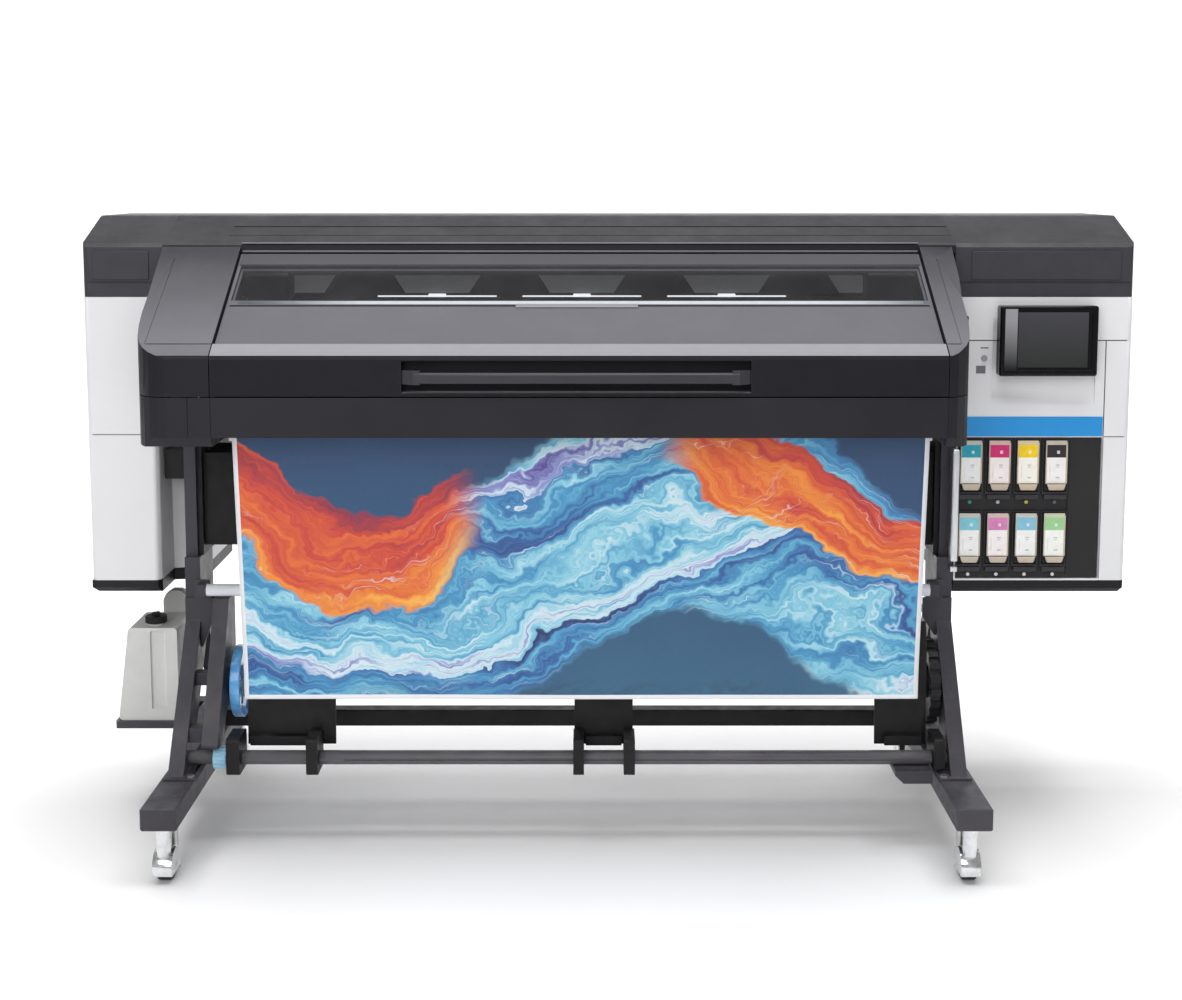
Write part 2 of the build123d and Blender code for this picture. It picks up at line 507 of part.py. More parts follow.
cov -= slope_slab(PANE_Y0, PANE_Y1, LIFT_X0 + 8, LIFT_X1 - 8, -5, DROP + 7)
cov -= slope_slab(PANE_Y0 + 6, PANE_Y1 - 6, LIFT_X0 + 14, LIFT_X1 - 14, -5, DROP + 20)
cov -= slope_slab(-224, -217, LIFT_X0 + 8, LIFT_X1 - 8, -5, DROP + 3)
GR0, GR1, GZ0, GZ1 = -438.0, 296.0, 1073.0, 1146.0
cov += bx(GR0 - 6, GR1 + 6, COVER_Y + 6, COVER_Y + 34, GZ0 - 6, GZ1)
cov -= xz([(GR0, GZ0), (GR1, GZ0), (GR1, GZ1 - 6), (GR0, GZ1 - 6)], COVER_Y - 1, COVER_Y + 28)
save("window_cover", cov)
pane = slope_slab(PANE_Y0 + 0.3, PANE_Y1 - 0.3, LIFT_X0 + 8.3, LIFT_X1 - 8.3, DROP + 0.5, DROP + 7)
save("window_pane", pane)
hb = rb(-410, 271, COVER_Y - 16, COVER_Y + 2, 1093, 1116, 6, "X")
for x0, s in ((GR0, 1), (GR1, -1)):
    e = xy([(x0, COVER_Y + 28), (x0, COVER_Y + 4), (x0 + s * 26, COVER_Y - 14), (x0 + s * 40, COVER_Y - 14), (x0 + s * 40, COVER_Y + 0), (x0 + s * 30, COVER_Y + 2), (x0 + s * 12, COVER_Y + 28)], 1091, 1120)
    hb += e
save("cover_handle", hb)

# ------------------------------------------------------------------ left housing
lh_pts = [(-HALF_W, FRONT_Y), (-1056, FRONT_Y), (-1048, FRONT_Y + 14), (-1048, 88), (-976, 104), (-976, BACK_Y), (-HALF_W, BACK_Y)]
low = xy(lh_pts, BODY_Z, 905)
low = soft(low, near(low, Axis.Z, [lambda c: c.Y < 0]), 12)
low -= xy([(-HALF_W + 5, FRONT_Y + 5), (-1060, FRONT_Y + 5), (-1053, FRONT_Y + 16), (-1053, 93), (-981, 109), (-981, BACK_Y - 5), (-HALF_W + 5, BACK_Y - 5)], BODY_Z + 5, 906)
up = bx(-HALF_W, -1052, FRONT_Y, BACK_Y, 905, CAP_Z - 0.5)
up = soft(up, near(up, Axis.Z, [lambda c: c.Y < 0]), 12)
up -= bx(-HALF_W + 5, -1057, FRONT_Y + 5, BACK_Y - 5, 904, CAP_Z + 1)
lh = low + up
lh -= bx(-HALF_W - 2, -1040, FRONT_Y - 2, FRONT_Y + 1.5, 927, 929.5)
lh -= bx(-HALF_W - 2, -HALF_W + 1.5, FRONT_Y - 2, BACK_Y + 2, 927, 929.5)
lh -= cy(-984, 90, 130, 695, 5)
save("left_housing", lh)

ltp = [(-HALF_W, FRONT_Y), (-1056, FRONT_Y), (-1048, FRONT_Y + 14), (-1048, 88), (-976, 104), (-976, BACK_Y), (-HALF_W, BACK_Y)]
lt = xy(ltp, BODY_Z - TRIM_H, BODY_Z)
TZ = BODY_Z - TRIM_H
lt -= yz([(FRONT_Y - 1, TZ - 1), (FRONT_Y + 13, TZ - 1), (FRONT_Y - 1, TZ + 13)], -HALF_W - 1, -1046)
lt -= xz([(-HALF_W - 1, TZ - 1), (-HALF_W + 13, TZ - 1), (-HALF_W - 1, TZ + 13)], FRONT_Y - 1, BACK_Y + 1)
lt -= xy([(-HALF_W + 18, FRONT_Y + 18), (-1076, FRONT_Y + 18), (-1070, FRONT_Y + 20), (-1070, 104), (-990, 120), (-990, BACK_Y - 8), (-HALF_W + 18, BACK_Y - 8)], BODY_Z - TRIM_H + 5, BODY_Z + 1)
rt = bx(HOUSE_X0, HALF_W, FRONT_Y, BACK_Y, BODY_Z - TRIM_H, BODY_Z)
rt = soft(rt, near(rt, Axis.Z, [lambda c: c.Y < 0, lambda c: c.X > 1000]), 12)
rt = chamfer([e for e in rt.edges() if abs(e.center().Z - (BODY_Z - TRIM_H)) < 0.1 and e.center().Y < FRONT_Y + 6 and e.length > 60], 10)
rt -= bx(HOUSE_X0 + 10, HALF_W - 12, FRONT_Y + 14, BACK_Y - 8, BODY_Z - TRIM_H + 5, BODY_Z + 1)
save("base_trims", Compound(children=[lt.solid(), rt.solid()]))

# ------------------------------------------------------------------ right housing
rh = bx(HOUSE_X0, HALF_W, FRONT_Y, BACK_Y, BODY_Z, CAP_Z - 0.5)
rh = soft(rh, near(rh, Axis.Z, [lambda c: c.Y < 0, lambda c: c.X > 1000]), 12)
rh -= bx(HOUSE_X0 + 3.5, HALF_W - 5, FRONT_Y + 10, BACK_Y - 5, BODY_Z + 5, CAP_Z + 1)
rh -= bx(BAY_X0 - 0.2, BAY_X1 + 2, FRONT_Y - 1, FRONT_Y + 12, BODY_Z + 4, BAY_Z1 + 1)
rh -= bx(780, 820, -25, 270, 1004, CAP_Z + 1)                      # carriage and rails pass here
rh -= bx(1148.5, 1151, FRONT_Y - 1, FRONT_Y + 1.5, BODY_Z, 1148)
rh -= bx(780, HALF_W + 2, FRONT_Y - 1, FRONT_Y + 1.5, 1147, 1149.5)
rh -= bx(1149, HALF_W + 2, FRONT_Y - 1, FRONT_Y + 1.5, 922, 924.5)
rh -= bx(HALF_W - 1.5, HALF_W + 2, FRONT_Y - 2, BACK_Y + 2, 922, 924.5)
# dished bed under and behind the touch screen
dish = Pos((SCR_X0 + SCR_X1) / 2, FRONT_Y - 640, 1100) * (Rot(0, 90, 0) * Cylinder(648, SCR_X1 - SCR_X0 + 14))
dish = dish & bx(SCR_X0 - 7, SCR_X1 + 7, FRONT_Y - 20, FRONT_Y + 8, 976, 1250)
rh -= dish
rh -= cy(BTN_X, FRONT_Y - 2, FRONT_Y + 12, BTN_Z, BTN_R + 0.4)
save("right_housing", rh)

bay = bx(BAY_X0, BAY_X1, FRONT_Y + 4, 215, BAY_Z0, BAY_Z1)
for xc in CART_X:
    for z0 in CART_Z:
        bay -= bx(xc - CART_W / 2 - 1, xc + CART_W / 2 + 1, FRONT_Y, 204, z0 - 1, z0 + CART_H + 1)
bay -= bx(1074.5, 1141, 0, 216, BAY_Z0 + 5, BAY_Z1 - 5)
bay -= bx(1071.5, 1073.5, FRONT_Y + 3, FRONT_Y + 6, BAY_Z0 + 6, BAY_Z1 - 6)
save("ink_bay", bay)

n = 0
for z0 in CART_Z:
    for xc in CART_X:
        n += 1
        c = rb(xc - CART_W / 2, xc + CART_W / 2, CART_Y0, CART_Y1, z0, z0 + CART_H, 3, "Y")
        c += rb(xc - 17, xc + 17, CART_Y0 - 7, CART_Y0 + 3, z0 + 4, z0 + 15, 2.5, "X")
        c -= bx(xc - 20, xc + 20, CART_Y0 - 1, CART_Y0 + 1, z0 + 22, z0 + 98)
        save(f"ink_cartridge_{n}", c)

scr = rb(SCR_X0, SCR_X1, -74, FRONT_Y - 2, SCR_Z0, SCR_Z1, 6, "XYZ")
scr -= bx(SCR_X0 + 14, SCR_X1 - 14, -76, -72, SCR_Z0 + 14, SCR_Z1 - 14)
save("touch_screen", scr)

btn = cy(BTN_X, FRONT_Y - 3, FRONT_Y + 6, BTN_Z, BTN_R)
btn = soft(btn, btn.edges().filter_by(GeomType.CIRCLE).sort_by(Axis.Y)[:1], 1)
save("power_button", btn)

# ------------------------------------------------------------------ waste bottle
wb = xz([(-1141, 457.5), (-1025, 457.5), (-1025, 231.5), (-1169, 231.5)], 2, 148)
wb = soft(wb, wb.edges().filter_by(Axis.Y), 10)
wb -= rb(-1089, -1053, -2, 8, 259, 450, 3.9)
wb -= xz([(-1133, 451.5), (-1031, 451.5), (-1031, 237.5), (-1161, 237.5)], 12, 142)
wb += cz(-1083, 40, 451.5, 470, 20) + cz(-1083, 40, 462, 478, 24)
save("waste_bottle", wb)
tray = bx(-1176, LEG_L, -4, 190, 213.5, 231)
tray = soft(tray, tray.edges().filter_by(Axis.Z).sort_by(Axis.X)[:2], 8)
tray -= bx(-1168, LEG_L - 6, 2, 148, 221, 232)
ch = xz([(-1095, 230), (-1095, 486), (-1088, 502), (-1074, 511), (-1053, 511), (-1039, 502), (-1032, 486), (-1032, 230)], 154, 182)
save("waste_tray", tray + ch)

inlet = bx(-1130, -1080, 400, 412, 620, 670) - bx(-1122, -1088, 404, 413, 630, 660)
for dx in (-9, 0, 9):
    inlet += bx(-1105 + dx - 1.5, -1105 + dx + 1.5, 403, 410, 641, 649)
inlet += bx(-1122, -1088, 400, 406, 674, 704) + bx(-1130, -1080, 400, 404, 668, 710)
save("mains_inlet", inlet)
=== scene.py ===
import math
import random

import bmesh
import bpy
from mathutils import Matrix, Vector

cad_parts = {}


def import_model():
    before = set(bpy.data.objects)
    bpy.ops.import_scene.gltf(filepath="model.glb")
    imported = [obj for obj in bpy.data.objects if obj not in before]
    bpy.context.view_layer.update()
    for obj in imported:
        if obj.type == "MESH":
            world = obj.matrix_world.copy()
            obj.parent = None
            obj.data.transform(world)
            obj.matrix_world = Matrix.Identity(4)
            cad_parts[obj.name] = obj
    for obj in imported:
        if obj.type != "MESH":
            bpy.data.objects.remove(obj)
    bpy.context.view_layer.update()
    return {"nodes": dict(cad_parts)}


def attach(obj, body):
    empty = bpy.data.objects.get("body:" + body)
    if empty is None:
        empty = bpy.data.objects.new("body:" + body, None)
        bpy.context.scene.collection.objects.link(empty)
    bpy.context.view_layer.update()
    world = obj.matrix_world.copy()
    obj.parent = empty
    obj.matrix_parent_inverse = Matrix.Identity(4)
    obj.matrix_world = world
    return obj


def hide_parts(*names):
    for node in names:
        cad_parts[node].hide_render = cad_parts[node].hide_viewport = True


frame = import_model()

N = frame["nodes"]
rnd = random.Random(7)


# ------------------------------------------------------------------ node helpers
class Mat:
    """A material under construction: short calls that add and join shader nodes."""

    def __init__(self, name):
        self.m = bpy.data.materials.new(name)
        self.m.use_nodes = True
        self.t = self.m.node_tree
        self.t.nodes.clear()
        self.out = self.t.nodes.new("ShaderNodeOutputMaterial")
        self.b = self.t.nodes.new("ShaderNodeBsdfPrincipled")
        self.t.links.new(self.b.outputs[0], self.out.inputs[0])
        self.co = self.t.nodes.new("ShaderNodeTexCoord").outputs["Object"]

    def set(self, **k):
        for n, v in k.items():
            self.b.inputs[n.replace("_", " ")].default_value = v
        return self

    def put(self, sock, v):
        if isinstance(v, bpy.types.NodeSocket):
            self.t.links.new(v, sock)
        else:
            sock.default_value = v

    def to(self, name, v):
        self.put(self.b.inputs[name], v)
        return self

    def math(self, op, a, b=0.0, c=None, clamp=False):
        n = self.t.nodes.new("ShaderNodeMath")
        n.operation = op
        n.use_clamp = clamp
        self.put(n.inputs[0], a)
        self.put(n.inputs[1], b)
        if c is not None:
            self.put(n.inputs[2], c)
        return n.outputs[0]

    def vmath(self, op, a, b=(0, 0, 0), out=0):
        n = self.t.nodes.new("ShaderNodeVectorMath")
        n.operation = op
        self.put(n.inputs[0], a)
        self.put(n.inputs[1], b)
        return n.outputs[out]

    def noise(self, scale, detail=3.0, rough=0.55, co=None, dist=0.0, out=0):
        n = self.t.nodes.new("ShaderNodeTexNoise")
        n.inputs["Scale"].default_value = scale
        n.inputs["Detail"].default_value = detail
        n.inputs["Roughness"].default_value = rough
        n.inputs["Distortion"].default_value = dist
        self.put(n.inputs["Vector"], co if co is not None else self.co)
        return n.outputs[out]

    def voronoi(self, scale, feature="F1", co=None, out="Distance", rand=1.0):
        n = self.t.nodes.new("ShaderNodeTexVoronoi")
        n.feature = feature
        n.inputs["Scale"].default_value = scale
        n.inputs["Randomness"].default_value = rand
        self.put(n.inputs["Vector"], co if co is not None else self.co)
        return n.outputs[out]

    def wave(self, scale, dist=4.0, detail=2.0, co=None, direction="X", profile="SIN", kind="BANDS"):
        n = self.t.nodes.new("ShaderNodeTexWave")
        n.wave_type = kind
        if kind == "BANDS":
            n.bands_direction = direction
        n.wave_profile = profile
        n.inputs["Scale"].default_value = scale
        n.inputs["Distortion"].default_value = dist
        n.inputs["Detail"].default_value = detail
        self.put(n.inputs["Vector"], co if co is not None else self.co)
        return n.outputs["Fac"]

    def map(self, v, a, b, c, d, clamp=True, smooth=False):
        n = self.t.nodes.new("ShaderNodeMapRange")
        n.clamp = clamp
        if smooth:
            n.interpolation_type = "SMOOTHSTEP"
        for i, x in enumerate((v, a, b, c, d)):
            self.put(n.inputs[i], x)
        return n.outputs[0]

    def mix(self, f, a, b, blend="MIX"):
        n = self.t.nodes.new("ShaderNodeMix")
        n.data_type = "RGBA"
        n.blend_type = blend
        n.clamp_factor = True
        self.put(n.inputs[0], f)
        self.put(n.inputs[6], rgba(a))
        self.put(n.inputs[7], rgba(b))
        return n.outputs[2]

    def ramp(self, v, stops, interp="LINEAR"):
        n = self.t.nodes.new("ShaderNodeValToRGB")
        n.color_ramp.interpolation = interp
        e = n.color_ramp.elements
        while len(e) > 1:
            e.remove(e[-1])
        e[0].position, e[0].color = stops[0][0], rgba(stops[0][1])
        for p, c in stops[1:]:
            x = e.new(p)
            x.color = rgba(c)
        self.put(n.inputs[0], v)
        return n.outputs[0]

    def split(self, v):
        n = self.t.nodes.new("ShaderNodeSeparateXYZ")
        self.put(n.inputs[0], v)
        return n.outputs

    def join(self, x, y, z):
        n = self.t.nodes.new("ShaderNodeCombineXYZ")
        for i, v in enumerate((x, y, z)):
            self.put(n.inputs[i], v)
        return n.outputs[0]

    def scaled(self, sx, sy, sz, co=None):
        return self.vmath("MULTIPLY", co if co is not None else self.co, (sx, sy, sz))

    def bump(self, h, dist=0.0002, strength=1.0, normal=None):
        n = self.t.nodes.new("ShaderNodeBump")
        n.inputs["Distance"].default_value = dist
        n.inputs["Strength"].default_value = strength
        self.put(n.inputs["Height"], h)
        if normal is not None:
            self.put(n.inputs["Normal"], normal)
        return n.outputs[0]

    def edge(self, radius=0.003):
        """0 on flat areas, towards 1 on edges"""
        n = self.t.nodes.new("ShaderNodeBevel")
        n.samples = 4
        n.inputs["Radius"].default_value = radius
        g = self.t.nodes.new("ShaderNodeNewGeometry").outputs["Normal"]
        d = self.vmath("DOT_PRODUCT", n.outputs[0], g, out=1)
        return self.map(d, 0.995, 0.86, 0.0, 1.0)

    def up(self):
        """how much a point faces up, 0 to 1"""
        g = self.t.nodes.new("ShaderNodeNewGeometry").outputs["Normal"]
        return self.map(self.split(g)[2], 0.2, 1.0, 0.0, 1.0)


def rgba(c):
    if isinstance(c, bpy.types.NodeSocket):
        return c
    return (c[0], c[1], c[2], c[3] if len(c) > 3 else 1.0)


def lin(r, g, b):
    """sRGB 0-255 to linear"""
    f = lambda v: (v / 255) / 12.92 if v <= 10.31 else ((v / 255 + 0.055) / 1.055) ** 2.4
    return (f(r), f(g), f(b))


# ------------------------------------------------------------------ materials
def moulded(name, col, rough=0.5, grain=1400.0, depth=0.00006, vary=0.05, wear=0.35, dust=0.035, spec=0.5, coat=0.0, front=None, low=None, nose_highlight=None):
    """fine-textured moulded plastic: grain, uneven gloss, rubbed edges, a little settled dust; optional painted light
    down the slope, a painted highlight on the nose and painted light and shade on upright faces
    """
    a = Mat(name)
    big = a.noise(2.3, 4)
    mid = a.noise(26, 5, 0.6)
    fine = a.noise(grain, 2, 0.5)
    speck = a.voronoi(grain * 0.6)
    lo = tuple(c * (1 - vary) for c in col)
    hi = tuple(min(1, c * (1 + vary) + 0.004) for c in col)
    c = a.mix(a.map(big, 0.35, 0.65, 0, 1), lo, hi)
    c = a.mix(a.math("MULTIPLY", a.map(mid, 0.45, 0.7, 0, 1), 0.25), c, hi)
    if low is not None:                     # painted light: the slope is painted lighter towards the operator, where the key light falls on it
        c = a.mix(a.map(a.split(a.co)[1], -0.06, -0.34, 0, 1), c, a.mix(a.map(mid, 0.35, 0.65, 0, 1), tuple(x * 0.94 for x in low), low))
    # painted highlight: a lighter strip along the front nose of the slope
    if nose_highlight is not None:
        c = a.mix(a.map(a.split(a.co)[1], -0.3552, -0.3562, 0, 1), c, a.mix(a.map(mid, 0.35, 0.65, 0, 1), tuple(x * 0.94 for x in nose_highlight), nose_highlight))
    if front is not None:                   # painted light and shade by facing: upright faces get their own shade, darker on the arms and cover, lighter on the end caps
        g = a.t.nodes.new("ShaderNodeNewGeometry").outputs["Normal"]
        c = a.mix(a.map(a.split(g)[2], 0.42, 0.66, 0, 1), a.mix(a.map(mid, 0.35, 0.65, 0, 1), tuple(x * 0.9 for x in front), front), c)
    light = tuple(min(1, x * 1.5 + 0.05) for x in col)
    if wear:
        e = a.math("MULTIPLY", a.edge(0.0022), a.map(a.noise(60, 5, 0.65), 0.35, 0.65, 0.25, 1))
        c = a.mix(a.math("MULTIPLY", e, wear), c, light)
    if dust:
        d = a.math("MULTIPLY", a.up(), a.map(a.noise(9, 6, 0.65), 0.42, 0.75, 0, dust))
        c = a.mix(d, c, (0.42, 0.41, 0.40))
    a.to("Base Color", c)
    r = a.math("ADD", a.map(mid, 0.3, 0.7, rough - 0.06, rough + 0.07), a.map(big, 0.3, 0.7, -0.03, 0.03, clamp=True))
    a.to("Roughness", r)
    h = a.math("ADD", a.math("MULTIPLY", fine, 0.7), a.math("MULTIPLY", speck, 0.5))
    a.to("Normal", a.bump(h, depth, 0.55))
    a.set(Specular_IOR_Level=spec)
    if coat:
        a.set(Coat_Weight=coat, Coat_Roughness=0.12)
    return a


def powder(name, col, rough=0.45, metallic=0.0, wear=0.5):
    """powder coat on steel: orange peel, chips and rub marks on the edges"""
    a = Mat(name)
    peel = a.noise(420, 2, 0.5)
    big = a.noise(3.1, 4)
    scr = a.noise(70, 6, 0.7, co=a.scaled(1, 1, 0.12))
    lo = tuple(c * 0.86 for c in col)
    hi = tuple(c * 1.18 + 0.003 for c in col)
    c = a.mix(a.map(big, 0.35, 0.65, 0, 1), lo, hi)
    c = a.mix(a.map(scr, 0.62, 0.72, 0, 0.22), c, tuple(x * 1.9 + 0.02 for x in col))
    e = a.math("MULTIPLY", a.edge(0.002), a.map(a.noise(85, 6, 0.7), 0.4, 0.62, 0.15, 1))
    c = a.mix(a.math("MULTIPLY", e, wear), c, tuple(min(1, x * 2.3 + 0.10) for x in col))
    d = a.math("MULTIPLY", a.up(), a.map(a.noise(12, 6, 0.65), 0.45, 0.75, 0, 0.16))
    c = a.mix(d, c, (0.40, 0.39, 0.38))
    a.to("Base Color", c)
    a.to("Roughness", a.map(a.noise(34, 5, 0.6), 0.3, 0.7, rough - 0.08, rough + 0.1))
    a.to("Normal", a.bump(peel, 0.00012, 0.5))
    a.set(Metallic=metallic, Specular_IOR_Level=0.3)
    return a


def metal(name, col, rough=0.28, brush=(1, 1, 1), scale=300, depth=0.00003, stain=0.3):
    """brushed or turned metal: streaks along one axis, stains and uneven gloss"""
    a = Mat(name)
    st = a.noise(scale, 4, 0.6, co=a.scaled(*brush))
    big = a.noise(6, 5, 0.6)
    c = a.mix(a.map(st, 0.3, 0.7, 0, 1), tuple(x * 0.82 for x in col), tuple(min(1, x * 1.1) for x in col))
    c = a.mix(a.map(big, 0.5, 0.8, 0, stain), c, tuple(x * 0.55 for x in col))
    a.to("Base Color", c)
    a.to("Roughness", a.math("ADD", a.map(st, 0.3, 0.7, rough - 0.06, rough + 0.08), a.map(big, 0.4, 0.7, 0, 0.1)))
    a.to("Normal", a.bump(st, depth, 0.4))
    a.set(Metallic=1.0)
    return a


CH = lin(66, 64, 69)
M = {}
M["charcoal"] = moulded("charcoal_moulding", lin(52, 51, 56), 0.42, spec=0.3).m
# arms, cover and end caps carry painted light and shade: upright faces painted darker (lighter on the caps), arms and
# cover painted lighter towards the operator, a painted highlight on the cover's nose
M["arms"] = moulded("arm_moulding", lin(44, 43, 48), 0.48, spec=0.15, wear=0.2, front=lin(34, 33, 38), low=lin(96, 95, 101)).m
M["cover"] = moulded("cover_moulding", lin(84, 83, 88), 0.48, spec=0.12, wear=0.2, front=lin(32, 31, 36), low=lin(90, 89, 95), nose_highlight=lin(132, 131, 137)).m
M["cap"] = moulded("end_cap_moulding", lin(36, 35, 39), 0.44, spec=0.25, wear=0.2, front=lin(62, 61, 67)).m
M["tint"] = moulded("head_tint", lin(62, 62, 65), 0.40, spec=0.15, wear=0.0, dust=0.0).m
M["dark"] = moulded("black_moulding", lin(27, 26, 29), 0.46, spec=0.22, wear=0.2).m
M["band"] = moulded("front_band_moulding", lin(34, 33, 38), 0.46, spec=0.2, wear=0.15).m
M["lid"] = moulded("lid_moulding", lin(34, 33, 37), 0.46, spec=0.2, wear=0.2).m
M["bay"] = moulded("ink_bay_moulding", lin(44, 43, 43), 0.5, spec=0.2, wear=0.1).m
M["white"] = moulded("white_cover", lin(226, 226, 228), 0.42, grain=1000, depth=0.00004, vary=0.012, wear=0.0, dust=0.06, spec=0.5).m
M["frame"] = powder("frame_powder_coat", lin(62, 60, 66), 0.46, wear=0.35).m
M["black"] = powder("black_powder_coat", lin(17, 16, 18), 0.55, wear=0.2).m
M["bar"] = powder("bar_powder_coat", lin(88, 86, 90), 0.34, wear=0.3).m
M["whitebar"] = powder("white_enamel_tube", lin(222, 224, 230), 0.3, wear=0.0).m
M["steel"] = metal("ground_steel", (0.56, 0.56, 0.58), 0.3, (0.04, 1, 1)).m
M["alu"] = metal("satin_aluminium", (0.66, 0.67, 0.69), 0.34, (0.04, 1, 1)).m
M["bolt"] = metal("zinc_plated_bolt", (0.62, 0.62, 0.60), 0.34, (1, 1, 1), 120).m
M["silver"] = metal("silver_trim", (0.78, 0.79, 0.81), 0.3, (1, 1, 0.03), 500).m
M["rubber"] = moulded("roller_rubber", lin(34, 34, 35), 0.75, grain=700, depth=0.0001, wear=0.1, spec=0.3).m
M["button"] = moulded("button_cap", lin(150, 152, 158), 0.3, wear=0.1, dust=0.0).m
M["greybit"] = moulded("grey_moulding", lin(112, 112, 118), 0.45, spec=0.3).m
M["panel"] = moulded("inner_panel", lin(150, 152, 158), 0.35, wear=0.1, dust=0.02).m


def m_glass():
    a = Mat("smoked_window")
    sm = a.noise(5, 5, 0.6)
    a.to("Base Color", a.mix(a.map(sm, 0.3, 0.7, 0, 1), (0.035, 0.035, 0.038), (0.055, 0.055, 0.06)))
    y = a.split(a.co)[1]
    a.to("Alpha", a.math("ADD", a.map(y, -0.130, -0.085, 0.16, 0.34, smooth=True), a.map(sm, 0.3, 0.8, 0.0, 0.05)))
    a.to("Roughness", a.map(a.noise(16, 6, 0.65), 0.35, 0.75, 0.10, 0.18))
    a.set(Specular_IOR_Level=0.5)
    return a.m


def m_flange():
    a = Mat("blue_translucent_flange")
    n = a.noise(18, 4)
    a.to("Base Color", a.mix(a.map(n, 0.3, 0.7, 0, 1), lin(70, 150, 225), lin(120, 195, 245)))
    a.to("Roughness", a.map(a.noise(60, 4), 0.3, 0.7, 0.2, 0.34))
    a.to("Normal", a.bump(a.noise(300, 2), 0.00008, 0.4))
    a.set(Coat_Weight=0.35, Coat_Roughness=0.1)
    return a.m


def m_ring():
    a = Mat("pale_blue_touch_point")
    n = a.noise(30, 4)
    a.to("Base Color", a.mix(a.map(n, 0.3, 0.7, 0, 1), lin(140, 195, 225), lin(176, 220, 240)))
    a.to("Roughness", a.map(a.noise(90, 4), 0.3, 0.7, 0.3, 0.45))
    a.to("Normal", a.bump(a.noise(900, 2), 0.00006, 0.4))
    return a.m


def m_gloss():
    a = Mat("gloss_black_bezel")
    n = a.noise(8, 5, 0.6)
    a.to("Base Color", a.mix(a.map(n, 0.3, 0.7, 0, 1), (0.003, 0.003, 0.0035), (0.006, 0.006, 0.007)))
    a.to("Roughness", a.map(a.noise(22, 6, 0.7), 0.4, 0.75, 0.10, 0.20))
    a.to("Normal", a.bump(a.noise(1200, 2), 0.00001, 0.3))
    a.set(Coat_Weight=0.10, Coat_Roughness=0.05, Specular_IOR_Level=0.15)
    return a.m


def m_bottle():
    a = Mat("waste_bottle_hdpe")
    n = a.noise(7, 5, 0.6)
    z = a.split(a.co)[2]
    c = a.mix(a.map(n, 0.3, 0.7, 0, 1), lin(206, 206, 203), lin(222, 222, 220))
    c = a.mix(a.map(z, 0.36, 0.22, 0, 0.25), c, lin(176, 176, 172))
    a.to("Base Color", c)
    a.to("Roughness", a.map(a.noise(40, 5), 0.3, 0.7, 0.36, 0.5))
    a.to("Normal", a.bump(a.noise(220, 3), 0.0002, 0.35))
    a.set(Subsurface_Weight=0.15, Subsurface_Radius=(0.02, 0.02, 0.02))
    return a.m


def m_roll():
    """wound media: white web outside, layered edges on the ends"""
    a = Mat("wound_media")
    x, y, z = a.split(a.co)[0:3]
    r = a.math("SQRT", a.math("ADD", a.math("POWER", a.math("SUBTRACT", y, 0.300), 2), a.math("POWER", a.math("SUBTRACT", z, 0.720), 2)))
    rings = a.noise(900, 2, 0.5, co=a.join(r, 0.0, 0.0))
    big = a.noise(3, 3)
    c = a.mix(a.map(big, 0.3, 0.7, 0, 1), lin(236, 237, 240), lin(246, 246, 248))
    c = a.mix(a.map(rings, 0.5, 0.8, 0, 0.25), c, lin(190, 190, 192))
    c = a.mix(a.math("LESS_THAN", r, 0.0425), c, lin(165, 130, 92))
    a.to("Base Color", c)
    a.to("Roughness", a.map(a.noise(20, 3), 0.3, 0.7, 0.36, 0.46))
    a.to("Normal", a.bump(a.noise(30, 3, co=a.scaled(0.2, 1, 1)), 0.0004, 0.3))
    return a.m


def radial(name, cy_, cz_, parts, rough, metallic=0.0, bumps=None):
    """colours by distance from an X axis at (cy_, cz_): [(radius, colour)...] from the centre out"""
    a = Mat(name)
    s = a.split(a.co)
    r = a.math("SQRT", a.math("ADD", a.math("POWER", a.math("SUBTRACT", s[1], cy_), 2), a.math("POWER", a.math("SUBTRACT", s[2], cz_), 2)))
    n = a.noise(45, 5, 0.6)
    c = parts[-1][1]
    out = a.mix(a.map(n, 0.3, 0.7, 0, 1), tuple(x * 0.85 for x in c), tuple(x * 1.15 for x in c))
    for rad, col in reversed(parts[:-1]):
        inner = a.mix(a.map(n, 0.3, 0.7, 0, 1), tuple(x * 0.88 for x in col), tuple(min(1, x * 1.08) for x in col))
        out = a.mix(a.math("LESS_THAN", r, rad), out, inner)
    a.to("Base Color", out)
    a.to("Roughness", a.map(n, 0.3, 0.7, rough - 0.08, rough + 0.08))
    a.to("Normal", a.bump(a.noise(500, 3), 0.0001, 0.5))
    a.set(Metallic=metallic)
    return a.m


def m_emit(name, col, strength, base=(0.8, 0.8, 0.82)):
    a = Mat(name)
    n = a.noise(90, 3)
    a.to("Base Color", a.mix(a.map(n, 0.3, 0.7, 0, 1), tuple(x * 0.9 for x in base), base))
    a.to("Roughness", a.map(n, 0.3, 0.7, 0.3, 0.45))
    a.to("Emission Color", a.mix(a.map(n, 0.3, 0.7, 0, 1), tuple(x * 0.92 for x in col), col))
    a.set(Emission_Strength=strength)
    return a.m


M["glass"] = m_glass()
M["flange"] = m_flange()
M["ring"] = m_ring()
M["gloss"] = m_gloss()
M["bottle"] = m_bottle()
M["roll"] = m_roll()
M["led"] = m_emit("work_light_strip", (0.93, 0.97, 1.0), 1.3)
# painted light: the inner bay panels glow faintly in place of the light they catch behind the window
M["panel_lit"] = m_emit("inner_panel_painted_glow", (0.42, 0.43, 0.45), 0.12, lin(118, 120, 124))


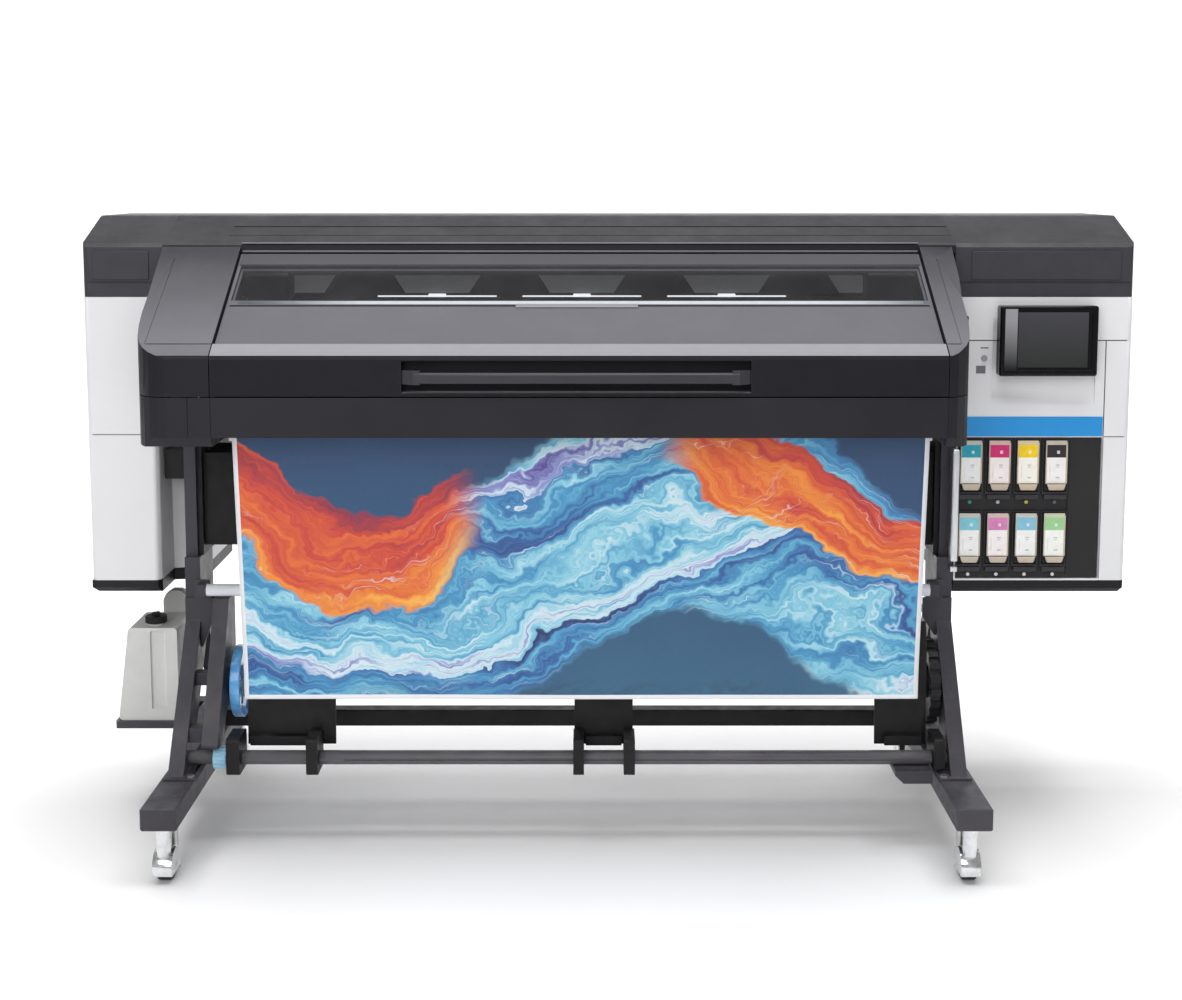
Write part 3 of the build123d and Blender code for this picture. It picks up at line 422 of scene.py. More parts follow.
def m_window_edge_glint():
    """painted highlight: a glowing strip along the window's lower edge, brightest in the middle, in place of the key
    light's reflection
    """
    a = Mat("window_edge_painted_glint")
    n = a.noise(60, 3)
    x = a.split(a.co)[0]
    f = a.map(a.math("ABSOLUTE", a.math("ADD", x, 0.01)), 0.46, 0.80, 1.0, 0.12, smooth=True)
    a.to("Base Color", a.mix(a.map(n, 0.3, 0.7, 0, 1), lin(34, 44, 48), lin(42, 54, 58)))
    a.to("Roughness", a.map(n, 0.3, 0.7, 0.25, 0.4))
    a.to("Emission Color", a.mix(a.map(n, 0.3, 0.7, 0, 1), (0.84, 0.90, 0.94), (0.92, 0.96, 1.0)))
    a.to("Emission Strength", a.math("MULTIPLY", f, 0.75))
    a.set(Specular_IOR_Level=0.05)
    return a.m


M["guide"] = m_window_edge_glint()
M["chrome"] = metal("bright_plated_hood", (0.80, 0.81, 0.82), 0.16, (1, 1, 1), 60, 0.00002, 0.25).m
M["blue"] = moulded("blue_stripe", lin(28, 143, 214), 0.34, grain=900, depth=0.00003, vary=0.05, wear=0.15, dust=0.05).m

for tag, wy in (("front", -0.365), ("rear", 0.365)):
    M["tyre_" + tag] = radial("caster_tyre_" + tag, wy, 0.0325, [(0.0062, (0.55, 0.55, 0.57)), (0.0202, lin(150, 150, 152)), (1, lin(30, 30, 31))], 0.6)

NODE_MAT = {
    "left_foot": "frame", "right_foot": "frame", "left_leg": "frame", "right_leg": "frame", "leveling_feet": "bolt", "cross_brace": "black",
    "frame_bolts": "bolt", "takeup_supports": "frame", "takeup_spindle": "alu", "takeup_flange": "flange", "takeup_drive_wheel": "dark",
    "deflector_bar": "bar", "lock_ring": "ring", "media_deflectors": "black", "diverter_bar": "whitebar", "chassis_frame": "black",
    "guide_rails": "black", "platen": "alu", "drive_roller": "steel", "pinch_rollers": "rubber", "print_carriage": "dark",
    "cutter_module": "charcoal", "service_station": "dark", "curing_module": "black", "supply_spindle": "dark",
    "supply_roll": "roll", "end_caps": "cap", "top_lid": "lid", "rear_cover": "lid", "side_arms": "arms", "front_lower_cover": "band",
    "window_cover": "cover", "window_pane": "glass", "cover_handle": "charcoal", "left_housing": "white", "base_trims": "dark",
    "right_housing": "white", "ink_bay": "bay", "touch_screen": "gloss", "power_button": "button", "waste_bottle": "bottle",
    "waste_tray": "frame", "mains_inlet": "dark",
}
for c in ("front_left", "front_right", "rear_left", "rear_right"):
    NODE_MAT["caster_fork_" + c] = "chrome"
    NODE_MAT["caster_wheel_" + c] = "tyre_" + c.split("_")[0]
for k in range(1, 9):
    NODE_MAT[f"ink_cartridge_{k}"] = "dark"

for n, o in N.items():
    if n in NODE_MAT:
        mm = M[NODE_MAT[n]]
        if not o.material_slots:
            o.data.materials.append(mm)
        for s in o.material_slots:
            s.material = mm


def crisp(o, width=0.0012, seg=2, angle=32):
    """small rounded edges on a CAD node, by modifiers only"""
    w = o.modifiers.new("weld", "WELD")
    w.merge_threshold = 0.00002
    b = o.modifiers.new("edge", "BEVEL")
    b.width = width
    b.segments = seg
    b.limit_method = "ANGLE"
    b.angle_limit = math.radians(angle)
    b.harden_normals = True
    b.use_clamp_overlap = True
    b.miter_outer = "MITER_ARC"


# ------------------------------------------------------------------ mesh helpers
def obj(name, verts, faces, mat=None, smooth=False):
    me = bpy.data.meshes.new(name)
    me.from_pydata([tuple(v) for v in verts], [], faces)
    me.update()
    o = bpy.data.objects.new(name, me)
    bpy.context.scene.collection.objects.link(o)
    if mat is not None:
        me.materials.append(mat)
    if smooth:
        for p in me.polygons:
            p.use_smooth = True
    return o


def from_bm(name, bm, mat=None, smooth=False):
    me = bpy.data.meshes.new(name)
    bmesh.ops.recalc_face_normals(bm, faces=bm.faces)
    bm.to_mesh(me)
    bm.free()
    o = bpy.data.objects.new(name, me)
    bpy.context.scene.collection.objects.link(o)
    if mat is not None:
        me.materials.append(mat)
    if smooth:
        for p in me.polygons:
            p.use_smooth = True
    return o


def add_box(bm, x0, x1, y0, y1, z0, z1, r=0.0, seg=2, axis=None):
    """a box with rounded edges added to a bmesh"""
    t = bmesh.new()
    bmesh.ops.create_cube(t, size=1.0)
    for v in t.verts:
        v.co = Vector(((x0 + x1) / 2 + v.co.x * (x1 - x0), (y0 + y1) / 2 + v.co.y * (y1 - y0), (z0 + z1) / 2 + v.co.z * (z1 - z0)))
    if r > 0:
        es = list(t.edges)
        if axis is not None:
            es = [e for e in es if abs((e.verts[0].co - e.verts[1].co).normalized()[axis]) > 0.9]
        bmesh.ops.bevel(t, geom=es, offset=r, segments=seg, affect="EDGES", profile=0.5, clamp_overlap=True)
    me = bpy.data.meshes.new("tmp")
    t.to_mesh(me)
    t.free()
    bm.from_mesh(me)
    bpy.data.meshes.remove(me)


def add_cyl(bm, c, axis, r0, r1, length, seg=32, cap=True, bev=0.0):
    """a cylinder or cone centred on c along axis 0, 1 or 2"""
    t = bmesh.new()
    bmesh.ops.create_cone(t, cap_ends=cap, segments=seg, radius1=r0, radius2=r1, depth=length)
    if bev > 0:
        es = [e for e in t.edges if abs(e.verts[0].co.z - e.verts[1].co.z) < 1e-9]
        bmesh.ops.bevel(t, geom=es, offset=bev, segments=2, affect="EDGES", profile=0.5, clamp_overlap=True)
    rot = {0: Matrix.Rotation(math.pi / 2, 3, "Y"), 1: Matrix.Rotation(-math.pi / 2, 3, "X"), 2: Matrix.Identity(3)}[axis]
    for v in t.verts:
        v.co = rot @ v.co + Vector(c)
    me = bpy.data.meshes.new("tmp")
    t.to_mesh(me)
    t.free()
    bm.from_mesh(me)
    bpy.data.meshes.remove(me)


def piece(name, bm, mat, body, smooth=True):
    o = from_bm(name, bm, mat, smooth)
    if smooth:
        m = o.modifiers.new("flat", "WEIGHTED_NORMAL")
        m.keep_sharp = True
        for e in o.data.edges:
            pass
        try:
            o.data.set_sharp_from_angle(angle=math.radians(38))
        except Exception:
            pass
    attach(o, body)
    return o


def slope_z(y):
    """height of the front slope, metres"""
    return 1.363 + (1.363 - 1.151) / 0.347 * (y + 0.045)


for n, o in N.items():
    if n in ("window_pane", "printed_media", "supply_roll"):
        continue
    if n.startswith("ink_cartridge") or n.startswith("caster"):
        crisp(o, 0.0005)
    elif n in ("left_housing", "right_housing", "end_caps", "top_lid", "side_arms", "window_cover", "front_lower_cover", "left_foot", "right_foot", "left_leg", "right_leg"):
        crisp(o, 0.0016)
    else:
        crisp(o, 0.0009)


# ------------------------------------------------------------------ the printed web
WX0, WX1 = -0.824, 0.700
PATH = [(0.205, 1.00535), (0.188, 1.0046), (0.172, 1.0016), (0.155, 1.00065), (0.10, 1.00055), (0.0, 1.00055), (-0.10, 1.00055), (-0.20, 1.00055), (-0.238, 1.0004), (-0.2495, 0.9985), (-0.2570, 0.9935), (-0.2615, 0.9855),
        (-0.2632, 0.974), (-0.2634, 0.955), (-0.2577, 0.902), (-0.2448, 0.798), (-0.2340, 0.712), (-0.2218, 0.618), (-0.2110, 0.530), (-0.1998, 0.438), (-0.1958, 0.393), (-0.1922, 0.3485)]


def catmull(pts, per=8):
    out = []
    n = len(pts)
    for i in range(n - 1):
        p0, p1, p2, p3 = pts[max(i - 1, 0)], pts[i], pts[i + 1], pts[min(i + 2, n - 1)]
        for k in range(per):
            t = k / per
            out.append(tuple(0.5 * ((2 * p1[j]) + (-p0[j] + p2[j]) * t + (2 * p0[j] - 5 * p1[j] + 4 * p2[j] - p3[j]) * t * t
                                    + (-p0[j] + 3 * p1[j] - 3 * p2[j] + p3[j]) * t ** 3) for j in (0, 1)))
    out.append(pts[-1])
    return out


def sheet_mesh(name, path, x0, x1, cols, thick, wob, mat_front, mat_back):
    """a thin closed web along a (y, z) path; u runs across, v is the metres along it"""
    s = [0.0]
    for a, b in zip(path, path[1:]):
        s.append(s[-1] + math.hypot(b[0] - a[0], b[1] - a[1]))
    L = s[-1]
    verts, uvs = [], []
    rows = len(path)
    for side in (0, 1):
        for i, (y, z) in enumerate(path):
            a, b = path[max(i - 1, 0)], path[min(i + 1, rows - 1)]
            d = Vector((b[0] - a[0], b[1] - a[1])).normalized()
            ny, nz = d.y, -d.x             # the printed side
            for c in range(cols + 1):
                f = c / cols
                off = wob(f, s[i], L) - side * thick
                verts.append((x0 + (x1 - x0) * f, y + ny * off, z + nz * off))
                uvs.append((f, s[i]))
    C = cols + 1
    base = rows * C
    faces, fm = [], []
    for i in range(rows - 1):
        for c in range(cols):
            a = i * C + c
            faces.append((a, a + 1, a + C + 1, a + C)); fm.append(0)
            faces.append((base + a, base + a + C, base + a + C + 1, base + a + 1)); fm.append(1)
    for c in range(cols):
        faces.append((c, base + c, base + c + 1, c + 1)); fm.append(1)
        a = (rows - 1) * C + c
        faces.append((a, a + 1, base + a + 1, base + a)); fm.append(1)
    for i in range(rows - 1):
        a = i * C
        faces.append((a, a + C, base + a + C, base + a)); fm.append(1)
        a = i * C + cols
        faces.append((a, base + a, base + a + C, a + C)); fm.append(1)
    o = obj(name, verts, faces, None, True)
    o.data.materials.append(mat_front)
    o.data.materials.append(mat_back)
    for p, k in zip(o.data.polygons, fm):
        p.material_index = k
    uv = o.data.uv_layers.new(name="web")
    for l in o.data.loops:
        uv.data[l.index].uv = uvs[l.vertex_index]
    bm = bmesh.new()
    bm.from_mesh(o.data)
    bmesh.ops.recalc_face_normals(bm, faces=bm.faces)
    bm.to_mesh(o.data)
    bm.free()
    return o, L


def m_print():
    """print on coated web: an abstract flow of colour bands, a white margin, faint ink grain"""
    a = Mat("printed_face")
    n = a.t.nodes.new("ShaderNodeUVMap")
    n.uv_map = "web"
    s = a.split(n.outputs[0])
    u, v = s[0], s[1]
    x = a.math("MULTIPLY", a.math("SUBTRACT", u, 0.5), 1.524)          # metres from the middle
    y = a.math("SUBTRACT", v, WEB_DROP)                                 # metres down the drop
    p = a.join(x, y, 0.0)
    w1 = a.noise(1.3, 3, 0.5, co=p)
    w2 = a.noise(2.6, 5, 0.58, co=a.vmath("ADD", p, (3.1, 1.7, 0.4)))
    # deep teal ground
    col = a.ramp(a.math("ADD", a.map(y, -0.1, 0.70, 0.1, 0.75), a.math("MULTIPLY", a.math("SUBTRACT", w1, 0.5), 0.7)),
                 [(0.0, lin(18, 48, 92)), (0.4, lin(24, 74, 116)), (0.75, lin(44, 98, 132)), (1.0, lin(70, 120, 150))])
    # wide ribbons that run across the web and cross one another
    t1 = a.math("ADD", a.math("ADD", a.math("MULTIPLY", y, 3.1), a.math("MULTIPLY", a.math("SINE", a.math("MULTIPLY", x, 3.4)), 0.42)), a.math("MULTIPLY", w2, 1.5))
    fine = a.noise(1.0, 8, 0.62, co=a.join(a.math("MULTIPLY", x, 2.4), a.math("MULTIPLY", t1, 11.0), w1))
    cool = a.ramp(a.math("ADD", a.math("MULTIPLY", fine, 0.8), a.math("MULTIPLY", a.math("FRACT", t1), 0.22)),
                  [(0.28, lin(22, 36, 92)), (0.38, lin(38, 92, 160)), (0.47, lin(66, 152, 198)), (0.55, lin(132, 202, 224)), (0.62, lin(214, 234, 242)),
                   (0.68, lin(140, 150, 208)), (0.78, lin(86, 66, 150))])
    band = a.math("ADD", a.math("MULTIPLY", a.math("SUBTRACT", y, 0.33), 2.6), a.math("ADD", a.math("MULTIPLY", a.math("SINE", a.math("ADD", a.math("MULTIPLY", x, 4.1), 0.6)), 0.42), a.math("MULTIPLY", a.math("SUBTRACT", w2, 0.5), 1.1)))
    cm = a.map(a.math("ABSOLUTE", band), 0.70, 0.60, 0, 1, smooth=True)
    col = a.mix(cm, col, cool)
    # warm ribbon across the upper part, running down to both sides in turn
    t2 = a.math("ADD", a.math("ADD", a.math("MULTIPLY", a.math("SUBTRACT", y, 0.12), 3.4), a.math("MULTIPLY", a.math("SINE", a.math("MULTIPLY", a.math("ADD", x, 0.17), 5.2)), 0.55)),
                a.math("MULTIPLY", a.math("SUBTRACT", w2, 0.5), 1.3))
    grain = a.noise(1.0, 7, 0.6, co=a.join(a.math("MULTIPLY", x, 3.0), a.math("MULTIPLY", t2, 9.0), w1))
    warm = a.ramp(a.math("ADD", a.math("MULTIPLY", grain, 0.75), a.math("MULTIPLY", a.math("ADD", t2, 0.5), 0.26)),
                  [(0.24, lin(72, 30, 104)), (0.36, lin(150, 34, 56)), (0.46, lin(206, 60, 40)), (0.55, lin(228, 104, 34)), (0.66, lin(244, 156, 52)), (0.80, lin(252, 206, 104))])
    wm = a.map(a.math("ABSOLUTE", t2), 0.36, 0.33, 0, 1)
    side = a.map(a.math("ADD", a.math("ABSOLUTE", a.math("ADD", x, 0.03)), a.math("MULTIPLY", w2, 0.22)), 0.30, 0.40, 0, 1, smooth=True)
    col = a.mix(a.math("MULTIPLY", wm, side), col, warm)
    # fine light threads over everything
    th = a.noise(1.0, 4, 0.6, co=a.join(a.math("MULTIPLY", x, 5.0), a.math("MULTIPLY", t1, 40.0), w2))
    col = a.mix(a.math("MULTIPLY", cm, a.map(th, 0.60, 0.70, 0, 0.55)), col, lin(226, 238, 246))
    # dark foot
    foot = a.math("ADD", y, a.math("MULTIPLY", a.math("SUBTRACT", fine, 0.5), 0.22))
    col = a.mix(a.math("MULTIPLY", a.map(foot, 0.58, 0.70, 0, 0.75), a.map(a.math("ABSOLUTE", x), 0.60, 0.40, 0, 1)), col, lin(16, 20, 44))
    # margins
    mx = a.math("MINIMUM", a.math("SUBTRACT", 0.762, a.math("ABSOLUTE", x)), a.math("SUBTRACT", WEB_LENGTH, v))
    inside = a.math("GREATER_THAN", mx, 0.010)
    ink = a.noise(1800, 1, 0.5)
    col = a.mix(a.map(ink, 0.35, 0.65, 0.0, 0.05), col, (1, 1, 1))
    col = a.mix(inside, lin(238, 240, 244), col)
    a.to("Base Color", col)
    a.to("Roughness", a.map(a.noise(12, 3), 0.3, 0.7, 0.42, 0.52))
    a.to("Normal", a.bump(a.math("ADD", ink, a.math("MULTIPLY", a.noise(9, 3), 6.0)), 0.00004, 0.35))
    a.set(Specular_IOR_Level=0.35)
    return a.m


def m_web_back():
    a = Mat("web_back")
    n = a.noise(4, 4)
    a.to("Base Color", a.mix(a.map(n, 0.3, 0.7, 0, 1), lin(232, 233, 236), lin(244, 244, 246)))
    a.to("Roughness", a.map(a.noise(900, 2), 0.3, 0.7, 0.5, 0.62))
    a.to("Normal", a.bump(a.noise(1500, 2), 0.00003, 0.4))
    return a.m


FULL = catmull(PATH, 6)
WEB_LENGTH = sum(math.hypot(q[0] - p[0], q[1] - p[1]) for p, q in zip(FULL, FULL[1:]))
WEB_DROP = WEB_LENGTH - 0.617
M["print"] = m_print()
M["webback"] = m_web_back()


def wob(f, s, L):
    k = max(0.0, min(1.0, (s - 0.62) / 0.45))
    return k * (0.0012 * math.sin(f * 7.3 + s * 3.0) + 0.0009 * math.sin(f * 15.1 - s * 5.0)) + (0.0035 * max(0, (s - (L - 0.10)) / 0.10) ** 2)


web, WEB_L = sheet_mesh("printed_web", FULL, WX0, WX1, 90, 0.00035, wob, M["print"], M["webback"])
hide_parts("printed_media")
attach(web, "machine")

BACK = [(0.3785, 0.720), (0.3790, 0.780), (0.3795, 0.850), (0.3790, 0.915), (0.3740, 0.955), (0.3560, 0.982), (0.3200, 0.998), (0.270, 1.0043), (0.206, 1.00535)]
feed, FEED_L = sheet_mesh("supply_web", catmull(BACK, 6), WX0, WX1, 40, 0.00035, lambda f, s, L: 0.0, M["webback"], M["webback"])
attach(feed, "machine")

# ------------------------------------------------------------------ overlays on the right housing
bm = bmesh.new()
add_box(bm, 0.8115, 1.1475, -0.0368, -0.0340, 0.9245, 0.9705, 0.0010)
piece("blue_stripe", bm, M["blue"], "machine")

bm = bmesh.new()
add_box(bm, 0.7950, 0.8120, -0.0660, -0.0370, 0.6340, 0.8980, 0.0035, 3)
add_box(bm, 0.7980, 0.8095, -0.0680, -0.0650, 0.6450, 0.8870, 0.0012, 2)
add_box(bm, 0.7960, 0.8120, -0.0620, -0.0370, 0.6090, 0.6220, 0.0020, 2)
piece("silver_bar", bm, M["silver"], "machine")


# ------------------------------------------------------------------ ink cartridges
INKS = [(22, 160, 182), (205, 30, 108), (240, 204, 0), (38, 28, 36), (122, 196, 212), (214, 130, 184), (132, 192, 216), (152, 206, 142)]
CX = [0.843, 0.909, 0.975, 1.041]
CZ = [0.797, 0.6255]


def m_box(k):
    """translucent cartridge shell tinted by its ink"""
    a = Mat(f"cartridge_shell_{k}")
    r, g, b = lin(*INKS[k - 1])
    z = a.split(a.co)[2]
    n = a.noise(40, 4)
    z0 = CZ[(k - 1) // 4]
    tint = a.mix(a.map(z, z0 + 0.098, z0 + 0.119, 0.10, 0.36), lin(212, 200, 180), (0.6 * r + 0.2, 0.6 * g + 0.2, 0.6 * b + 0.2))
    low = a.map(z, z0 + 0.022, z0 + 0.004, 0.0, 0.55)
    c = a.mix(low, tint, lin(168, 146, 124))
    c = a.mix(a.map(n, 0.35, 0.7, 0, 0.18), c, lin(150, 132, 112))
    a.to("Base Color", c)
    a.to("Roughness", a.map(n, 0.3, 0.7, 0.22, 0.36))
    a.to("Normal", a.bump(a.noise(420, 3), 0.00006, 0.4))
    a.set(Coat_Weight=0.25, Coat_Roughness=0.15)
    return a.m


def m_label(k):
    """paper label: an ink-coloured head, a pale field, a few plain grey bars in place of writing"""
    a = Mat(f"cartridge_label_{k}")
    x, y, z = a.split(a.co)[0:3]
    cx, z0 = CX[(k - 1) % 4], CZ[(k - 1) // 4]
    lx = a.math("SUBTRACT", x, cx - 0.0015)
    lz = a.math("SUBTRACT", z, z0)
    ink = lin(*INKS[k - 1])
    n = a.noise(60, 3)
    pale = a.mix(a.map(n, 0.3, 0.7, 0, 1), lin(240, 238, 234), lin(250, 248, 246))
    pale = a.mix(0.07, pale, ink)
    head = a.mix(a.map(n, 0.3, 0.7, 0, 1), tuple(c * 0.92 for c in ink), tuple(min(1, c * 1.06 + 0.002) for c in ink))
    c = a.mix(a.math("GREATER_THAN", lz, 0.0790), pale, head)

    def mark(c, x0, x1, z0_, z1_, col, f=1.0):
        m = a.math("MULTIPLY", a.math("MULTIPLY", a.math("GREATER_THAN", lx, x0), a.math("LESS_THAN", lx, x1)),
                   a.math("MULTIPLY", a.math("GREATER_THAN", lz, z0_), a.math("LESS_THAN", lz, z1_)))
        return a.mix(a.math("MULTIPLY", m, f), c, col)

    c = mark(c, 0.0020, 0.0085, 0.0880, 0.0950, lin(236, 238, 240), 0.7)
    c = mark(c, 0.0000, 0.0090, 0.0600, 0.0625, lin(120, 120, 124), 0.55)
    c = mark(c, 0.0010, 0.0080, 0.0555, 0.0575, lin(120, 120, 124), 0.45)
    c = mark(c, 0.0005, 0.0090, 0.0300, 0.0335, lin(120, 116, 118), 0.5)
    c = mark(c, -0.0150, -0.0120, 0.0300, 0.0600, lin(180, 178, 178), 0.25)
    a.to("Base Color", c)
    a.to("Roughness", a.map(n, 0.3, 0.7, 0.36, 0.5))
    a.to("Normal", a.bump(a.noise(900, 2), 0.00003, 0.35))
    return a.m


for k in range(1, 9):
    cx, z0 = CX[(k - 1) % 4], CZ[(k - 1) // 4]
    body = f"cartridge_{k}"
    bm = bmesh.new()
    add_box(bm, cx - 0.0245, cx + 0.0245, -0.0440, -0.0398, z0 + 0.0165, z0 + 0.1185, 0.0016, 2)
    # sloped lower lip with cut corners
    lo, up = z0 + 0.0030, z0 + 0.0168
    pts = [(-0.0215, up), (0.0215, up), (0.0185, lo + 0.004), (0.0160, lo), (-0.0160, lo), (-0.0185, lo + 0.004)]
    fr = [bm.verts.new((cx + px, -0.0500, pz)) for px, pz in pts]
    bk = [bm.verts.new((cx + px, -0.0468, pz)) for px, pz in pts]
    bm.faces.new(fr)
    bm.faces.new(bk[::-1])
    for i in range(6):
        j = (i + 1) % 6
        bm.faces.new((fr[i], bk[i], bk[j], fr[j]))
    # two side ribs of the shell
    add_box(bm, cx - 0.0250, cx - 0.0232, -0.0462, -0.0420, z0 + 0.018, z0 + 0.114, 0.0006)
    add_box(bm, cx + 0.0232, cx + 0.0250, -0.0462, -0.0420, z0 + 0.018, z0 + 0.114, 0.0006)
    piece(f"cartridge_shell_{k}", bm, m_box(k), body)
    bm = bmesh.new()
    add_box(bm, cx - 0.0222, cx + 0.0215, -0.0446, -0.0439, z0 + 0.0185, z0 + 0.1085, 0.0008, 2, axis=1)
    piece(f"cartridge_label_{k}", bm, m_label(k), body)

# slot frames, trays and plain indicator marks on the bay
bm = bmesh.new()
for z0 in CZ:
    for cx in CX:
        add_box(bm, cx - 0.0300, cx + 0.0300, -0.0375, -0.0340, z0 - 0.0085, z0 - 0.0035, 0.0006)
        add_box(bm, cx - 0.0300, cx - 0.0280, -0.0375, -0.0340, z0 - 0.0035, z0 + 0.1220, 0.0005)
        add_box(bm, cx + 0.0280, cx + 0.0300, -0.0375, -0.0340, z0 - 0.0035, z0 + 0.1220, 0.0005)
        add_box(bm, cx - 0.0300, cx + 0.0300, -0.0375, -0.0340, z0 + 0.1205, z0 + 0.1225, 0.0005)
        add_box(bm, cx - 0.0265, cx + 0.0265, -0.0420, -0.0345, z0 - 0.0200, z0 - 0.0090, 0.0010)
piece("bay_slot_frames", bm, M["charcoal"], "machine")


def m_mark(name, col):
    a = Mat(name)
    n = a.noise(400, 3)
    a.to("Base Color", a.mix(a.map(n, 0.3, 0.7, 0, 1), tuple(c * 0.8 for c in col), col))
    a.to("Roughness", a.map(n, 0.3, 0.7, 0.4, 0.55))
    a.to("Normal", a.bump(n, 0.00002, 0.4))
    return a.m


MK = {"green": m_mark("mark_green", lin(20, 150, 120)), "pale": m_mark("mark_pale", lin(190, 184, 184)), "yellow": m_mark("mark_yellow", lin(190, 186, 60)),
      "dim": m_mark("mark_dim", lin(96, 90, 100)), "white": m_mark("mark_white", lin(222, 222, 226))}
for r, cols in ((0, ("green", "pale", "yellow", "dim")), (1, ("white",) * 4)):
    for i, c in enumerate(cols):
        bm = bmesh.new()
        z = CZ[r] - 0.0275
        add_cyl(bm, (CX[i], -0.0366, z), 1, 0.0042, 0.0042, 0.0016, 20, bev=0.0004)
        piece(f"slot_mark_{r * 4 + i + 1}", bm, MK[c], "machine")

# ------------------------------------------------------------------ touch screen face
a = Mat("display_glass")
x, y, z = a.split(a.co)[0:3]
n = a.noise(3, 2)
# painted reflection: the screen glass is painted lighter towards the top, with a few lighter patches
c = a.mix(a.map(z, 1.085, 1.215, 0, 1), lin(44, 46, 43), lin(68, 68, 73))
c = a.mix(a.map(n, 0.3, 0.7, 0, 0.12), c, lin(90, 90, 94))
a.to("Base Color", c)
a.to("Roughness", a.map(a.noise(30, 5, 0.7), 0.4, 0.75, 0.10, 0.2))
a.to("Normal", a.bump(a.noise(900, 2), 0.00001, 0.3))
a.set(Coat_Weight=0.05, Coat_Roughness=0.04, Specular_IOR_Level=0.2)
M["display"] = a.m
bm = bmesh.new()
add_box(bm, 0.9360, 1.0960, -0.07445, -0.0715, 1.0900, 1.2165, 0.0006, 2, axis=1)
piece("display_panel", bm, M["display"], "touch_screen")
a = Mat("bezel_sheen")
n = a.noise(20, 4)
# painted reflection: the side glass runs from near black at the bottom to light grey at the top
a.to("Base Color", a.mix(a.map(a.split(a.co)[2], 1.085, 1.20, 0, 1), lin(12, 12, 13), lin(150, 150, 154)))
a.to("Roughness", a.map(n, 0.3, 0.7, 0.12, 0.2))
a.to("Normal", a.bump(a.noise(900, 2), 0.00001, 0.3))
M["sheen"] = a.m
bm = bmesh.new()
add_box(bm, 0.9060, 0.9340, -0.0746, -0.0730, 1.0820, 1.2240, 0.0005, 2, axis=1)
piece("bezel_side_glass", bm, M["sheen"], "touch_screen")

# ------------------------------------------------------------------ window surround and interior
bm = bmesh.new()
add_box(bm, -0.8380, 0.7080, -0.0432, -0.0405, 1.3520, 1.3560, 0.0008)
piece("window_head_band", bm, M["greybit"], "machine")
# painted highlight: a light grey strip on the lid's front-top edge, where its chamfer catches the key light
bm = bmesh.new()
add_box(bm, -0.8400, 0.7100, -0.0425, -0.0335, 1.3708, 1.3740, 0.0010, 2)
piece("lid_edge_painted_highlight", bm, M["greybit"], "machine")


def on_slope(bm, x0, x1, y0, y1, up, down, r=0.0006, drop=0.014):
    """a thin bar lying on the front slope, between two depths"""
    t = bmesh.new()
    add_box(t, x0, x1, 0, math.hypot(y1 - y0, slope_z(y1) - slope_z(y0)), -down, up, r)
    ang = math.atan2(slope_z(y1) - slope_z(y0), y1 - y0)
    for v in t.verts:
        yy, zz = v.co.y, v.co.z
        v.co.y = y0 + yy * math.cos(ang) - zz * math.sin(ang)
        v.co.z = slope_z(y0) - drop + yy * math.sin(ang) + zz * math.cos(ang)
    me = bpy.data.meshes.new("tmp")
    t.to_mesh(me)
    t.free()
    bm.from_mesh(me)
    bpy.data.meshes.remove(me)


# painted highlight strip along the window's lower edge
bm = bmesh.new()
on_slope(bm, -0.815, 0.690, -0.2140, -0.2050, 0.0012, 0.0005)
piece("window_edge_glint", bm, M["guide"], "lifting_cover")
bm = bmesh.new()
on_slope(bm, -0.205, 0.063, -0.2262, -0.2148, 0.0022, 0.0005)
piece("shelf_tab", bm, M["greybit"], "lifting_cover")
bm = bmesh.new()
on_slope(bm, -0.836, 0.706, -0.0860, -0.0485, 0.0022, 0.0005)
piece("window_head_tint", bm, M["tint"], "lifting_cover")

# interior: recessed bays in the beam, work lights, end blocks
bm = bmesh.new()
bl = bmesh.new()
lt = bmesh.new()
for k in range(-2, 3):
    c = -0.062 + 0.351 * k
    # frame of the bay: four bars round an opening, the inner panel sloping back
    ow, zt, zb = 0.127, 1.3040, 1.2440
    for s in (-1, 1):
        q = [(c + s * ow, zt), (c + s * (ow - 0.010), zt), (c + s * (ow - 0.050), zb), (c + s * (ow - 0.034), zb)]
        f = [bm.verts.new((px, 0.1700, pz)) for px, pz in q]
        g = [bm.verts.new((px, 0.1860, pz)) for px, pz in q]
        bm.faces.new(f)
        bm.faces.new(g[::-1])
        for i in range(4):
            j = (i + 1) % 4
            bm.faces.new((f[i], g[i], g[j], f[j]))
    add_box(bm, c - ow, c + ow, 0.1640, 0.1860, zt - 0.004, zt + 0.018, 0.002)
    q = [(c - ow + 0.014, zt - 0.018), (c + ow - 0.014, zt - 0.018), (c + ow - 0.048, zb), (c - ow + 0.048, zb)]
    f = [bl.verts.new((px, 0.1780 if pz > 1.27 else 0.1720, pz)) for px, pz in q]
    g = [bl.verts.new((px, 0.1858, pz)) for px, pz in q]
    bl.faces.new(f)
    bl.faces.new(g[::-1])
    for i in range(4):
        j = (i + 1) % 4
        bl.faces.new((f[i], g[i], g[j], f[j]))
    if abs(k) < 2:
        add_box(lt, c - 0.144, c + 0.144, 0.1660, 0.1740, 1.2345, 1.2375, 0.0006)
        add_box(lt, c - 0.021, c + 0.021, 0.1630, 0.1745, 1.2345, 1.2420, 0.0012)
    add_box(bm, c - 0.150, c + 0.150, 0.1700, 0.1860, 1.2260, 1.2340, 0.0015)
piece("beam_bay_frames", bm, M["dark"], "machine")
piece("beam_bay_panels", bl, M["panel_lit"], "machine")
piece("work_lights", lt, M["led"], "machine")
bm = bmesh.new()
add_box(bm, -0.8580, -0.7600, 0.0900, 0.1855, 1.2300, 1.2900, 0.003)
